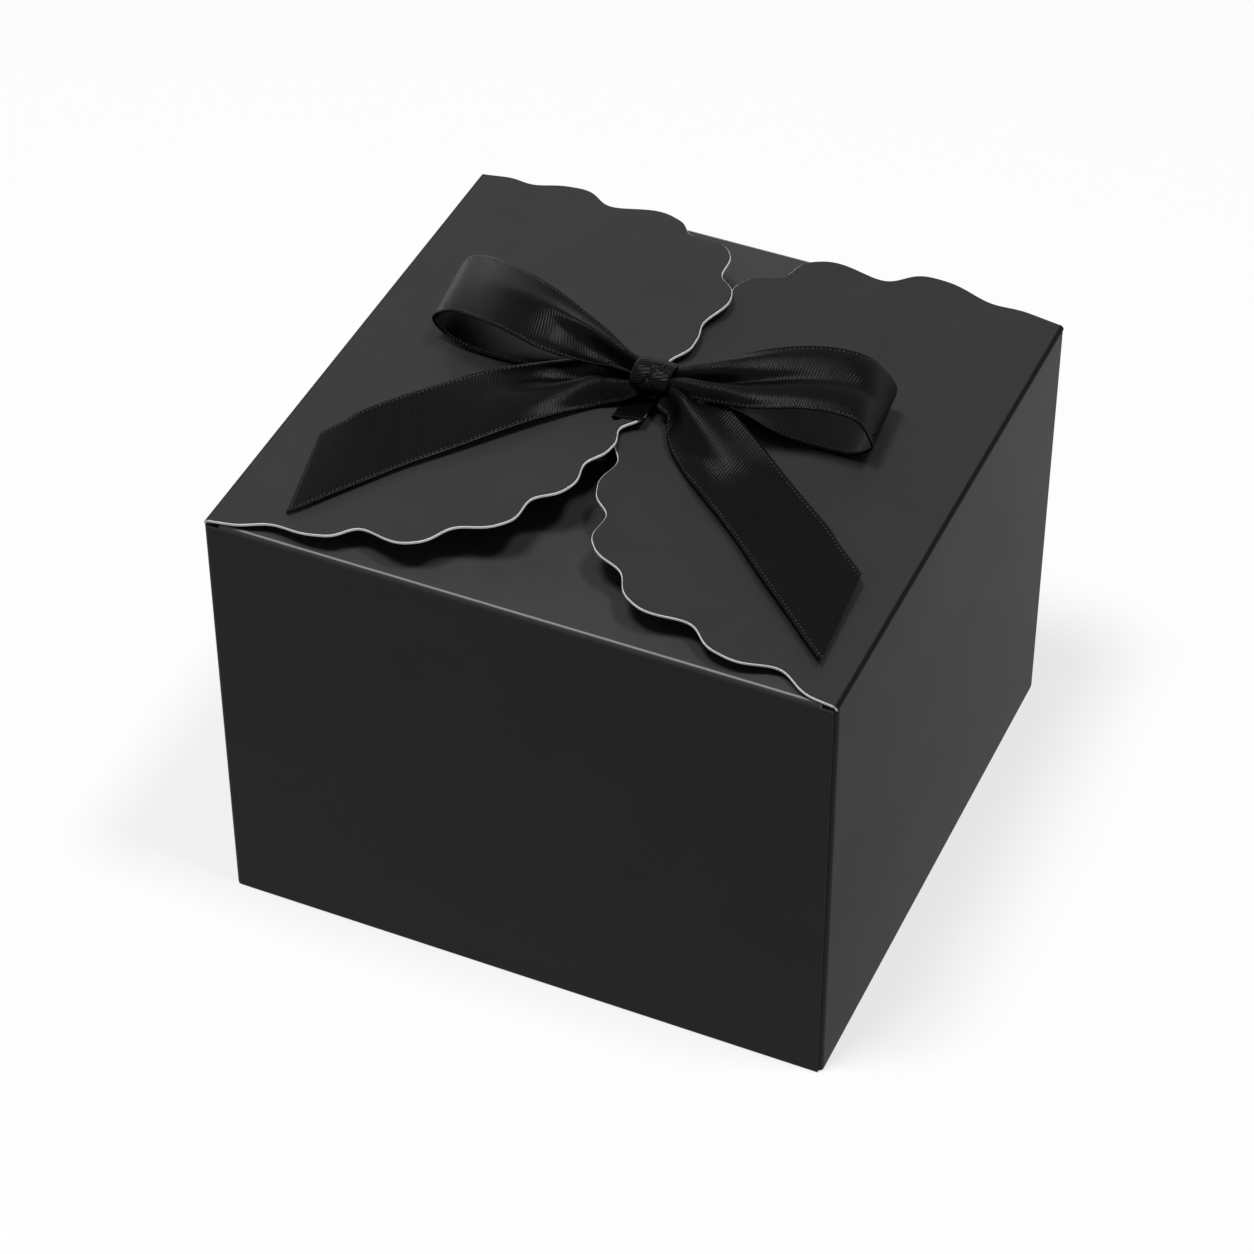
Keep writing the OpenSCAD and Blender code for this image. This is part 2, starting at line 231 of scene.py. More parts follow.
def feed(tree, value, socket):
    """Sets a socket to a plain number or links another socket to it."""
    if isinstance(value, (int, float)):
        socket.default_value = value
    else:
        tree.links.new(value, socket)


def maths(tree, operation, first, second=None):
    """Math node on sockets or plain numbers. Returns its result socket."""
    node = tree.nodes.new("ShaderNodeMath")
    node.operation = operation
    feed(tree, first, node.inputs[0])
    if second is not None:
        feed(tree, second, node.inputs[1])
    return node.outputs[0]


def noise(tree, vector, scale, detail=2.0, roughness=0.5):
    """Noise texture. Returns its factor socket."""
    node = tree.nodes.new("ShaderNodeTexNoise")
    node.inputs["Detail"].default_value = detail
    node.inputs["Roughness"].default_value = roughness
    tree.links.new(vector, node.inputs["Vector"])
    feed(tree, scale, node.inputs["Scale"])
    return node.outputs["Fac"]


# Scales of the noise are per metre.
BROAD_SCALE = 900.0
FLECK_SCALE = 2600.0
TOOTH_SHARE = 0.7           # of the fine tooth in the grain's height
BROAD_SHARE = 0.6           # of the broad one


def card_grain_group():
    """Fine tooth of pressed board and the slow mottle of its coating."""
    group = bpy.data.node_groups.get("card_grain")
    if group:
        return group
    group, taken, given = group_with(
        "card_grain",
        {"Place": None, "Tooth Scale": 5000.0, "Mottle Scale": 70.0},
        ("Height", "Mottle", "Fleck"))
    place = taken.outputs["Place"]
    tooth = noise(group, place, taken.outputs["Tooth Scale"], detail=3.0, roughness=0.6)
    broad = noise(group, place, BROAD_SCALE)
    mottle = noise(group, place, taken.outputs["Mottle Scale"], detail=4.0, roughness=0.6)
    fleck = noise(group, place, FLECK_SCALE, detail=1.0)
    height = maths(group, "ADD", maths(group, "MULTIPLY", tooth, TOOTH_SHARE),
                   maths(group, "MULTIPLY", broad, BROAD_SHARE))
    group.links.new(height, given.inputs["Height"])
    group.links.new(mottle, given.inputs["Mottle"])
    group.links.new(fleck, given.inputs["Fleck"])
    return group


RIB_SLANT = 0.35            # rise of a rib along the ribbon for each step across it
RIB_WANDER = 0.3 * MM
WANDER_SCALE = 350.0
WARP_PITCH = 0.22 * MM
WARP_SHARE = 0.12           # depth of the warp threads against the ribs
STREAK_SCALE = 1400.0


def satin_weave_group():
    """Slanting ribs of a satin ribbon on its own flat coordinates, in metres."""
    group = bpy.data.node_groups.get("satin_weave")
    if group:
        return group
    group, taken, given = group_with(
        "satin_weave",
        {"Flat": None, "Pitch": 0.55 * MM, "Slant": RIB_SLANT}, ("Height", "Rib", "Streak"))
    parts = group.nodes.new("ShaderNodeSeparateXYZ")
    group.links.new(taken.outputs["Flat"], parts.inputs[0])
    across = maths(group, "MULTIPLY", parts.outputs["X"], taken.outputs["Slant"])
    along = maths(group, "ADD", parts.outputs["Y"], across)
    wander = noise(group, taken.outputs["Flat"], WANDER_SCALE)
    along = maths(group, "ADD", along, maths(group, "MULTIPLY", wander, RIB_WANDER))
    turns = maths(group, "DIVIDE", along, taken.outputs["Pitch"])
    rib = maths(group, "SINE", maths(group, "MULTIPLY", turns, 2 * math.pi))
    rib = maths(group, "ADD", maths(group, "MULTIPLY", rib, 0.5), 0.5)
    warp = maths(group, "MULTIPLY", parts.outputs["X"], 2 * math.pi / WARP_PITCH)
    warp = maths(group, "MULTIPLY", maths(group, "SINE", warp), WARP_SHARE)
    streak = noise(group, taken.outputs["Flat"], STREAK_SCALE, detail=3.0, roughness=0.6)
    group.links.new(maths(group, "ADD", rib, warp), given.inputs["Height"])
    group.links.new(rib, given.inputs["Rib"])
    group.links.new(streak, given.inputs["Streak"])
    return group


# ---- materials ----

def bare_material(name):
    """New material with its Principled shader. Returns the material, its tree and shader."""
    material = bpy.data.materials.new(name)
    material.use_nodes = True
    tree = material.node_tree
    return material, tree, tree.nodes["Principled BSDF"]


def ranged(tree, value, low, high, from_low=0.3, from_high=0.7):
    """Map Range node from the middle of a noise to low and high."""
    node = tree.nodes.new("ShaderNodeMapRange")
    node.inputs["From Min"].default_value = from_low
    node.inputs["From Max"].default_value = from_high
    node.inputs["To Min"].default_value = low
    node.inputs["To Max"].default_value = high
    tree.links.new(value, node.inputs["Value"])
    return node.outputs["Result"]


def blended_colour(tree, factor, first, second):
    """Colour between two colours. Returns the colour socket."""
    node = tree.nodes.new("ShaderNodeMix")
    node.data_type = "RGBA"
    node.inputs["A"].default_value = (*first, 1)
    node.inputs["B"].default_value = (*second, 1)
    tree.links.new(factor, node.inputs["Factor"])
    return node.outputs["Result"]


def bumped(tree, shader, height, distance, strength):
    """Bump node between a height and the shader's normal."""
    bump = tree.nodes.new("ShaderNodeBump")
    bump.inputs["Strength"].default_value = strength
    bump.inputs["Distance"].default_value = distance
    tree.links.new(height, bump.inputs["Height"])
    tree.links.new(bump.outputs["Normal"], shader.inputs["Normal"])


def grain_on(tree, tooth_scale, mottle_scale):
    """Card grain on the piece's object coordinates."""
    place = tree.nodes.new("ShaderNodeTexCoord")
    grain = tree.nodes.new("ShaderNodeGroup")
    grain.node_tree = card_grain_group()
    grain.inputs["Tooth Scale"].default_value = tooth_scale
    grain.inputs["Mottle Scale"].default_value = mottle_scale
    tree.links.new(place.outputs["Object"], grain.inputs["Place"])
    return grain


def scaled(colour, share):
    """Share of a colour."""
    return tuple(min(1.0, part * share) for part in colour)


def card_material(name, grain_scales, paint, shine, bump):
    """Card material. paint turns its tree and grain node into the socket of its colour."""
    material = bpy.data.materials.get(name)
    if material:
        return material
    material, tree, shader = bare_material(name)
    grain = grain_on(tree, *grain_scales)
    tree.links.new(paint(tree, grain), shader.inputs["Base Color"])
    roughness, level = shine
    tree.links.new(ranged(tree, grain.outputs["Mottle"], *roughness),
                   shader.inputs["Roughness"])
    shader.inputs["Specular IOR Level"].default_value = level
    bumped(tree, shader, grain.outputs["Height"], *bump)
    return material


def varied_paint(mask, first, second, span=(0.3, 0.7)):
    """Paint between two colours by one of the grain's masks."""
    def paint(tree, grain):
        share = ranged(tree, grain.outputs[mask], 0.0, 1.0, *span)
        return blended_colour(tree, share, first, second)
    return paint


# A grain is the scale of the tooth and of the mottle, a shine is the range of roughness and
# the level of the highlights, and a bump is its height and strength.
COAT_GRAIN = (5200.0, 60.0)
COAT_SHINE = ((0.49, 0.53), 0.06)
COAT_BUMP = (0.012 * MM, 0.35)
BOARD_GRAIN = (3600.0, 90.0)
BOARD_SHINE = ((0.78, 0.88), 0.3)
BOARD_BUMP = (0.02 * MM, 0.5)
CUT_GRAIN = (7000.0, 400.0)
CUT_SHINE = ((0.7, 0.9), 0.5)
CUT_BUMP = (0.03 * MM, 0.6)
CREASE_ROUGHNESS = (0.42, 0.48)
CREASE_EASE = 0.08          # share of a crease over which its colour turns
CREASE_WANDER = 0.03        # share of a crease by which that place wanders


def coat_material(name="matt_black_coat", share=1.0):
    """Matt black coating on the outside of the card. A share above 1 paints it paler, as painted
    light.
    """
    colour = scaled(card_settings().coat_colour, share)
    paint = varied_paint("Mottle", scaled(colour, 0.92), scaled(colour, 1.08))
    return card_material(name, COAT_GRAIN, paint, COAT_SHINE, COAT_BUMP)


def crease_material(name, low, high, share, level):
    """Coat with a band across a crease painted to a share of its colour, lighter as a painted
    highlight and darker as painted shade.

    low and high are shares of the way from the wall to the flap.
    """
    colour = tuple(card_settings().coat_colour)

    def paint(tree, grain):
        bend = tree.nodes.new("ShaderNodeAttribute")
        bend.attribute_name = "bend"
        wander = ranged(tree, grain.outputs["Mottle"], -CREASE_WANDER, CREASE_WANDER)
        place = maths(tree, "ADD", bend.outputs["Fac"], wander)
        rise = ranged(tree, place, 0.0, 1.0, low - CREASE_EASE, low)
        fall = ranged(tree, place, 1.0, 0.0, high, high + CREASE_EASE)
        return blended_colour(tree, maths(tree, "MULTIPLY", rise, fall), colour,
                              scaled(colour, share))

    return card_material(name, COAT_GRAIN, paint, (CREASE_ROUGHNESS, level), COAT_BUMP)


def painted_light_inner_coat_material():
    """Coating of the inner flaps, painted paler to stand in for the light on them."""
    return coat_material("inner_flap_coat", share=1.55)


def painted_highlight_crease_material():
    """Coat with a painted highlight: a pale band painted along the top of a sharp crease."""
    return crease_material("rubbed_crease_coat", low=0.72, high=0.90, share=7.5, level=0.12)


def painted_shade_crease_material():
    """Coat with painted shade: a dark band painted along a crease."""
    return crease_material("pressed_crease_coat", low=0.15, high=0.85, share=0.3, level=0.02)


def board_material():
    """Bare inside of the board."""
    colour = tuple(card_settings().board_colour)
    paint = varied_paint("Fleck", scaled(colour, 1.03), scaled(colour, 0.93), (0.35, 0.75))
    return card_material("bare_board", BOARD_GRAIN, paint, BOARD_SHINE, BOARD_BUMP)


def cut_edge_material():
    """Pale core that shows where the board was cut."""
    colour = tuple(card_settings().core_colour)
    paint = varied_paint("Fleck", colour, scaled(colour, 0.85))
    return card_material("cut_board_edge", CUT_GRAIN, paint, CUT_SHINE, CUT_BUMP)


SATIN_ROUGHNESS = (0.19, 0.26)
SATIN_LEVEL = 0.055         # of the highlights
SATIN_STRETCH = 0.45        # of the highlights across the ribbon
SATIN_BUMP = (0.035 * MM, 1.0)
# Shares of the satin's colour between and on the ribs: painted shade in the grooves and a painted
# sheen on the crests.
RIB_PAINTED_SHADE_AND_SHEEN = (0.4, 2.4)     # shares of the satin's colour between and on the ribs
THREAD_SCALE = 2200.0
THREAD_ROUGHNESS = (0.36, 0.5)
THREAD_LEVEL = 0.3
THREAD_BUMP = (0.02 * MM, 0.4)
THREAD_SHADE = 1.6          # share of the satin's colour in the stitches
THREAD_SHADES = (0.6, 1.5)


def satin_material():
    """Black satin with slanting ribs, on the ribbon's flat coordinates."""
    material = bpy.data.materials.get("black_satin_ribbon")
    if material:
        return material
    material, tree, shader = bare_material("black_satin_ribbon")
    flat = tree.nodes.new("ShaderNodeUVMap")
    flat.uv_map = "flat"
    weave = tree.nodes.new("ShaderNodeGroup")
    weave.node_tree = satin_weave_group()
    weave.inputs["Pitch"].default_value = ribbon_settings().rib_pitch
    weave.inputs["Slant"].default_value = RIB_SLANT
    tree.links.new(flat.outputs["UV"], weave.inputs["Flat"])
    colour = tuple(ribbon_settings().colour)
    # The ribs' colour is painted shade between them and a painted sheen on them.
    shades = [scaled(colour, share) for share in RIB_PAINTED_SHADE_AND_SHEEN]
    tree.links.new(blended_colour(tree, weave.outputs["Rib"], *shades),
                   shader.inputs["Base Color"])
    tree.links.new(ranged(tree, weave.outputs["Streak"], *SATIN_ROUGHNESS),
                   shader.inputs["Roughness"])
    shader.inputs["Specular IOR Level"].default_value = SATIN_LEVEL
    shader.inputs["Anisotropic"].default_value = SATIN_STRETCH
    tangent = tree.nodes.new("ShaderNodeTangent")
    tangent.direction_type = "UV_MAP"
    tangent.uv_map = "flat"
    tree.links.new(tangent.outputs["Tangent"], shader.inputs["Tangent"])
    bumped(tree, shader, weave.outputs["Height"], *SATIN_BUMP)
    return material


def stitch_material():
    """Thread of the selvedge stitches, a little paler than the satin."""
    material = bpy.data.materials.get("selvedge_thread")
    if material:
        return material
    material, tree, shader = bare_material("selvedge_thread")
    place = tree.nodes.new("ShaderNodeTexCoord")
    spread = noise(tree, place.outputs["Object"], THREAD_SCALE)
    colour = scaled(ribbon_settings().colour, THREAD_SHADE)
    shades = [scaled(colour, share) for share in THREAD_SHADES]
    tree.links.new(blended_colour(tree, spread, *shades), shader.inputs["Base Color"])
    tree.links.new(ranged(tree, spread, *THREAD_ROUGHNESS), shader.inputs["Roughness"])
    shader.inputs["Specular IOR Level"].default_value = THREAD_LEVEL
    bumped(tree, shader, spread, *THREAD_BUMP)
    return material


# ---- meshes ----

def new_piece(name, mesh):
    """Object at the origin that holds the mesh."""
    piece = bpy.data.objects.new(name, mesh)
    bpy.context.scene.collection.objects.link(piece)
    return piece


def mesh_from(name, build, *materials):
    """Mesh of a bmesh, with its materials."""
    mesh = bpy.data.meshes.new(name)
    build.to_mesh(mesh)
    build.free()
    for material in materials:
        mesh.materials.append(material)
    return mesh


def paired(ring):
    """Each point of a closed ring with the next one."""
    return zip(ring, ring[1:] + ring[:1])


COAT, BOARD, CUT = 0, 1, 2


def card_piece(name, build, outside=coat_material):
    """Piece of card from bmesh faces, with its outside, board and cut edge as materials."""
    return new_piece(name, mesh_from(name, build, outside(), board_material(),
                                     cut_edge_material()))


CUT_BEVEL = 0.08 * MM       # the crushed upper corner of a cut edge


def inset_outline(outline, distance, fixed):
    """Outline moved inward, apart from the points at the fixed indices."""
    area = sum(a.cross(b) for a, b in paired(outline))
    held = {index % len(outline) for index in fixed}
    made = []
    for index, point in enumerate(outline):
        run = (outline[(index + 1) % len(outline)] - outline[index - 1]).normalized()
        inward = Vector((-run.y, run.x)) * math.copysign(distance, area)
        made.append(point if index in held else point + inward)
    return made


def card_panel(name, outlines, place, up, fixed, outside=coat_material):
    """Flat panel of card. The first outline is its rim and any others are holes.

    place turns a flat point into a point on the coated face, and up is that face's normal.
    The rim's upper corner is bevelled, apart from the points at the fixed indices.
    """
    build = bmesh.new()
    rims = []
    bevel = inset_outline(outlines[0], CUT_BEVEL, fixed)
    for outline in [bevel, *outlines[1:]]:
        rims.append([build.verts.new(place(point)) for point in outline])
        for pair in paired(rims[-1]):
            build.edges.new(pair)
    bmesh.ops.triangle_fill(build, use_beauty=True, edges=build.edges[:], normal=up)
    coated = build.faces[:]
    below = {}
    for rim, outline in zip(rims, outlines):
        for vertex, point in zip(rim, outline):
            below[vertex] = build.verts.new(place(point) - up * CARD_T)
    for face in coated:
        face.material_index = COAT
        under = build.faces.new([below[vertex] for vertex in reversed(face.verts)])
        under.material_index = BOARD
    middle = {vertex: build.verts.new(place(point) - up * CUT_BEVEL)
              for vertex, point in zip(rims[0], outlines[0])}
    for rim in rims:
        for vertex, after in paired(rim):
            rings = [{vertex: vertex, after: after}, below]
            if rim is rims[0]:
                rings.insert(1, middle)
            for upper, lower in zip(rings, rings[1:]):
                side = build.faces.new(
                    (upper[vertex], upper[after], lower[after], lower[vertex]))
                side.material_index = CUT
    bmesh.ops.recalc_face_normals(build, faces=build.faces[:])
    return card_piece(name, build, outside)


def card_skin(name, outer, inner, outside=coat_material, hidden=CUT):
    """Bent strip of card between two grids of points, row by row, closed round its rim.

    hidden is the material of the rim along the first column and the last row. The points
    keep their share of the rows as the attribute bend.
    """
    build = bmesh.new()
    rows = len(outer)
    columns = len(outer[0])
    out, back = ([[build.verts.new(point) for point in row] for row in grid]
                 for grid in (outer, inner))
    for skin, kind in ((out, COAT), (back, BOARD)):
        for i in range(rows - 1):
            for j in range(columns - 1):
                face = build.faces.new(
                    (skin[i][j], skin[i][j + 1], skin[i + 1][j + 1], skin[i + 1][j]))
                face.material_index = kind
                face.smooth = True
    rim = [(i, 0) for i in range(rows)]
    rim += [(rows - 1, j) for j in range(1, columns)]
    rim += [(i, columns - 1) for i in range(rows - 2, -1, -1)]
    rim += [(0, j) for j in range(columns - 2, 0, -1)]
    for (i, j), (k, m) in paired(rim):
        face = build.faces.new((out[i][j], out[k][m], back[k][m], back[i][j]))
        face.material_index = hidden if j == m == 0 or i == k == rows - 1 else CUT
    for edge in build.edges:
        edge.smooth = all(face.smooth for face in edge.link_faces)
    bmesh.ops.recalc_face_normals(build, faces=build.faces[:])
    piece = card_piece(name, build, outside)
    shares = [i / (rows - 1) for i in range(rows) for _ in range(columns)] * 2
    piece.data.attributes.new("bend", "FLOAT", "POINT").data.foreach_set("value", shares)
    return piece


# ---- carton walls: one strip of card round the box, glued at the front right corner ----

WALL_CORNER_R = 0.9 * MM
CORNER_STEPS = 8
SEAM_GAP = 0.75 * MM
TAB_CLEARANCE = 0.06 * MM


def arc_points(centre, radius, start, end):
    """Points and outward normals along an arc, angles in degrees."""
    made = []
    for step in range(CORNER_STEPS + 1):
        angle = math.radians(start + (end - start) * step / CORNER_STEPS)
        normal = Vector((math.cos(angle), math.sin(angle)))
        made.append((centre + normal * radius, normal))
    return made


def wall_plan():
    """Outer face of the wall strip in plan: (point, outward normal, which wall) from the seam."""
    r = WALL_CORNER_R
    front = Vector((0, -1))
    plan = [(Vector((HALF_W - SEAM_GAP, -HALF_D)), front, "front")]
    corners = [
        (Vector((-HALF_W + r, -HALF_D + r)), 270, 180, "left"),
        (Vector((-HALF_W + r, HALF_D - r)), 180, 90, "back"),
        (Vector((HALF_W - r, HALF_D - r)), 90, 0, "right"),
    ]
    for centre, start, end, wall in corners:
        for index, (point, normal) in enumerate(arc_points(centre, r, start, end)):
            plan.append((point, normal, wall if index > CORNER_STEPS / 2 else plan[-1][2]))
    tab_y = -HALF_D + CARD_T + TAB_CLEARANCE
    fold = Vector((HALF_W - r, tab_y + r))
    for point, normal in arc_points(fold, r, 0, -90):
        plan.append((point, normal, "right"))
    plan.append((Vector((TAB_LOW.x, tab_y)), front, "right"))
    return plan


def crease_reach(tilt, radius):
    """Distance from the sharp corner at which the crease's arc meets the wall or flap."""
    return radius * math.tan((math.pi / 2 - tilt) / 2)


def wall_top(wall):
    """Height at which a wall passes into its top crease."""
    card = card_settings()
    tilts = {"left": card.left_tilt, "right": card.right_tilt}
    if wall in tilts:
        return TOP_Z - crease_reach(tilts[wall], card.crease_radius)
    return INNER_Z - crease_reach(0, card.crease_radius)


FOOT = ((0.0, 0.30), (0.06, 0.13), (0.20, 0.04), (0.5, 0.0))   # height and inset, millimetres
WALL_SHARES = (0.33, 0.67, 1.0)     # heights of the rows above the foot, as shares of the wall


def make_walls():
    """The four walls and the glue tab as one strip of card."""
    plan = wall_plan()
    tops = [wall_top(wall) for _, _, wall in plan]
    levels = [([height * MM] * len(plan), inset * MM) for height, inset in FOOT]
    levels += [([top * share for top in tops], 0.0) for share in WALL_SHARES]
    outer, inner = (
        [[Vector((*(point - normal * (inset + depth)), height))
          for (point, normal, _), height in zip(plan, heights)] for heights, inset in levels]
        for depth in (0.0, CARD_T))
    piece = card_skin("carton_walls", outer, inner, hidden=COAT)
    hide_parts("front_wall", "back_wall", "left_wall", "right_wall", "glue_tab")
    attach(piece, "carton")


# ---- bottom: the frame's own panels, coated outside and bare inside ----

BOTTOM_PANELS = ("bottom_tongue_panel", "bottom_slot_panel", "bottom_left_panel",
                 "bottom_right_panel")


def make_bottom():
    """The four interlocking panels of the snap bottom.

    A face takes its material by the way it looks: up, to a side or down.
    """
    for node in BOTTOM_PANELS:
        build = bmesh.new()
        build.from_mesh(frame["nodes"][node].data)
        bmesh.ops.remove_doubles(build, verts=build.verts[:], dist=0.001 * MM)
        bmesh.ops.dissolve_limit(build, angle_limit=math.radians(1), verts=build.verts[:],
                                 edges=build.edges[:])
        for face in build.faces:
            face.material_index = (BOARD, CUT, COAT)[1 - round(face.normal.z)]
        piece = card_piece(node + "_card", build)
        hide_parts(node)
        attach(piece, "carton")


# ---- creases along the top ----

CREASE_STEPS = 10


def make_crease(name, base, inward, along, half_length, tilt, outside):
    """Rounded strip between a wall and its flap.

    base is the sharp corner's middle, inward points over the box, along is the crease.
    """
    radius = card_settings().crease_radius
    reach = crease_reach(tilt, radius)
    centre = base + inward * radius - UP * reach
    outer = []
    inner = []
    for step in range(CREASE_STEPS + 1):
        angle = math.pi - (math.pi / 2 - tilt) * step / CREASE_STEPS
        normal = inward * math.cos(angle) + UP * math.sin(angle)
        for grid, distance in ((outer, radius), (inner, radius - CARD_T)):
            point = centre + normal * distance
            grid.append([point + along * half_length * end for end in (-1, 1)])
    piece = card_skin(name, outer, inner, outside)
    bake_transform(piece)


# ---- inner flaps ----

INNER_CORNER_R = 5 * MM


def rounded_corner(before, corner, after, radius):
    """Points of the arc that rounds a corner of an outline."""
    one = (before - corner).normalized()
    two = (after - corner).normalized()
    half = one.angle(two) / 2
    centre = corner + (one + two).normalized() * radius / math.sin(half)
    spoke = corner + one * radius / math.tan(half) - centre
    turn = math.copysign(math.pi - 2 * half, two.cross(one))
    return [centre + Matrix.Rotation(turn * step / CORNER_STEPS, 2) @ spoke
            for step in range(CORNER_STEPS + 1)]


def make_inner_flaps():
    """The plain front and back flaps under the scalloped ones, and their creases."""
    tip = min(abs(vertex.co.x) for vertex in frame["nodes"]["front_flap"].data.vertices)
    reach = crease_reach(0, card_settings().crease_radius)
    for side, wall in ((-1, "front"), (1, "back")):
        corners = [Vector((-INNER_CREASE, reach)), Vector((INNER_CREASE, reach)),
                   Vector((tip, INNER_REACH)), Vector((-tip, INNER_REACH))]
        outline = [corners[0], corners[1]]
        outline += rounded_corner(corners[1], corners[2], corners[3], INNER_CORNER_R)
        outline += rounded_corner(corners[2], corners[3], corners[0], INNER_CORNER_R)

        def place(point, side=side):
            return Vector((point.x, side * (HALF_D - point.y), INNER_Z))

        # The inner flaps' coat is painted paler, as painted light.
        piece = card_panel(wall + "_flap_card", [outline], place, UP, (0, 1),
                           painted_light_inner_coat_material)
        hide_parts(wall + "_flap")
        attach(piece, wall + "_inner_flap")
        # The front and back creases carry a painted highlight along their top.
        make_crease(wall + "_crease",
                    Vector((0, side * HALF_D, INNER_Z)), Vector((0, -side, 0)),
                    Vector((1, 0, 0)), INNER_CREASE, 0.0, painted_highlight_crease_material)


# ---- scalloped flaps ----

OUTLINE_STEP = 0.3      # degrees
SLOT_STEPS = 12
SLOT_EASE = 1.5 * MM    # by which a slot is longer than the ribbon is wide
CREST_FULLNESS = 1.5    # 1 is a plain wave, more makes the crests broader than the valleys

# Crests from a flap's tip to a hinge corner: the crest's angle, its reach as a share of the
# plain outline, and the share of the scallop depth in the valley after it.
LEFT_FRONT_CRESTS = ((0, 1, 1), (9, 1, 0.8), (18, 0.985, 0.8), (28.5, 1, 1.1), (40, 1.02, 1),
                     (53.5, 1.03, 1.35), (68, 1, 0.6), (86, 1, 0), (90, 1, 0))
LEFT_BACK_CRESTS = ((0, 1, 1), (10.5, 1, 0.7), (22.5, 1.045, 0.9), (34.5, 1.045, 1.05),
                    (48, 1, 1.45), (69.5, 0.995, 0.5), (85.5, 1, 0), (90, 1, 0))
RIGHT_FRONT_CRESTS = ((0, 1, 1), (14, 0.99, 0.9), (27.5, 0.99, 1.05), (39.5, 1.015, 0.9),
                      (52, 1.02, 1.35), (68, 0.995, 1.2), (86.5, 1, 0), (90, 1, 0))
RIGHT_BACK_CRESTS = ((0, 1, 1), (9, 1, 0.9), (19, 1, 1), (32, 1.02, 1), (46, 1.03, 1.7),
                     (66, 1.02, 0.65), (84.5, 1, 0), (90, 1, 0))


def scalloped_radius(angle, reach, half, crests):
    """Distance from the crease's middle to the scalloped edge, at an angle from the tip."""
    card = card_settings()
    plain = ((abs(math.cos(angle)) / reach) ** card.fullness
             + (abs(math.sin(angle)) / half) ** card.fullness) ** (-1 / card.fullness)
    turned = min(abs(math.degrees(angle)), 89.999)
    for (low, share, valley), (high, next_share, _) in zip(crests, crests[1:]):
        if turned < high:
            break
    part = (turned - low) / (high - low)
    ease = part * part * (3 - 2 * part)
    dip = ((1 - math.cos(2 * math.pi * part)) / 2) ** CREST_FULLNESS
    return plain * (share + (next_share - share) * ease) - card.scallop_depth * valley * dip


def scalloped_outline(reach, half, start, front_crests, back_crests):
    """Flap outline from the crease's arc at distance start, from the front to the back."""
    steps = round(180 / OUTLINE_STEP)
    rim = []
    for step in range(steps + 1):
        angle = -math.pi / 2 + math.pi * step / steps
        crests = front_crests if angle < 0 else back_crests
        radius = scalloped_radius(angle, reach, half, crests)
        point = Vector((radius * math.cos(angle), radius * math.sin(angle)))
        if point.x >= start:
            rim.append(point)
    rim.insert(0, Vector((start, -half)))
    rim.append(Vector((start, half)))
    return rim


def slot_outline(middle, length, width, offset):
    """Slot with round ends, long along the flap's crease."""
    run = (length - width) / 2
    points = []
    for end, first in ((1, 0), (-1, 180)):
        for step in range(SLOT_STEPS + 1):
            angle = math.radians(first + 180 * step / SLOT_STEPS)
            points.append(Vector((middle + width / 2 * math.cos(angle),
                                  offset + end * run + width / 2 * math.sin(angle))))
    return points


def make_scalloped_flaps():
    """The two scalloped flaps with their ribbon slots and creases."""
    card = card_settings()
    slot_length = ribbon_settings().width + SLOT_EASE
    half = HALF_D - card.flap_end_gap
    flaps = ((-1, "left", card.left_tilt, LEFT_TIP_Z, LEFT_FRONT_CRESTS, LEFT_BACK_CRESTS,
              card.left_slot_inset, -card.left_slot_front),
             (1, "right", card.right_tilt, RIGHT_TIP_Z, RIGHT_FRONT_CRESTS, RIGHT_BACK_CRESTS,
              card.right_slot_inset, 0.0))
    for side, flap, tilt, tip_z, front_crests, back_crests, inset, slot_y in flaps:
        base = Vector((side * HALF_W, 0, TOP_Z))
        inward = Vector((-side, 0, 0))
        reach = (tip_z - TOP_Z) / math.sin(tilt)
        start = crease_reach(tilt, card.crease_radius)
        rim = scalloped_outline(reach, half, start, front_crests, back_crests)
        slot = slot_outline(reach - inset, slot_length, card.slot_width, slot_y)
        slope = inward * math.cos(tilt) + UP * math.sin(tilt)
        normal = UP * math.cos(tilt) - inward * math.sin(tilt)

        def place(point, base=base, slope=slope):
            return base + slope * point.x + Vector((0, point.y, 0))

        piece = card_panel(flap + "_flap_card", [rim, slot], place, normal, (0, -1))
        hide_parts(flap + "_flap")
        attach(piece, flap + "_outer_flap")
        # The flap creases carry painted shade along them.
        make_crease(flap + "_crease", base, inward,
                    Vector((0, 1, 0)), half, tilt, painted_shade_crease_material)


# ---- ribbon: sheets that follow rows of stations ----

ROW_STEPS = 9
ACROSS = 36
PLEAT_FADE = 0.35       # pleats are flattened where less of the width than this is gathered
FLAT_SHARE = 0.999      # a larger share of the width counts as this one
KNOT_GAP = 0.3 * MM     # from the knot's side to where a loop's or tail's reach starts


def flap_plane(x):
    """Mean height of the closed flaps over a point."""
    card = card_settings()
    middle = TOP_Z + HALF_W * (math.tan(card.left_tilt) + math.tan(card.right_tilt)) / 2
    return middle - abs(x) * math.tan((card.left_tilt + card.right_tilt) / 2)


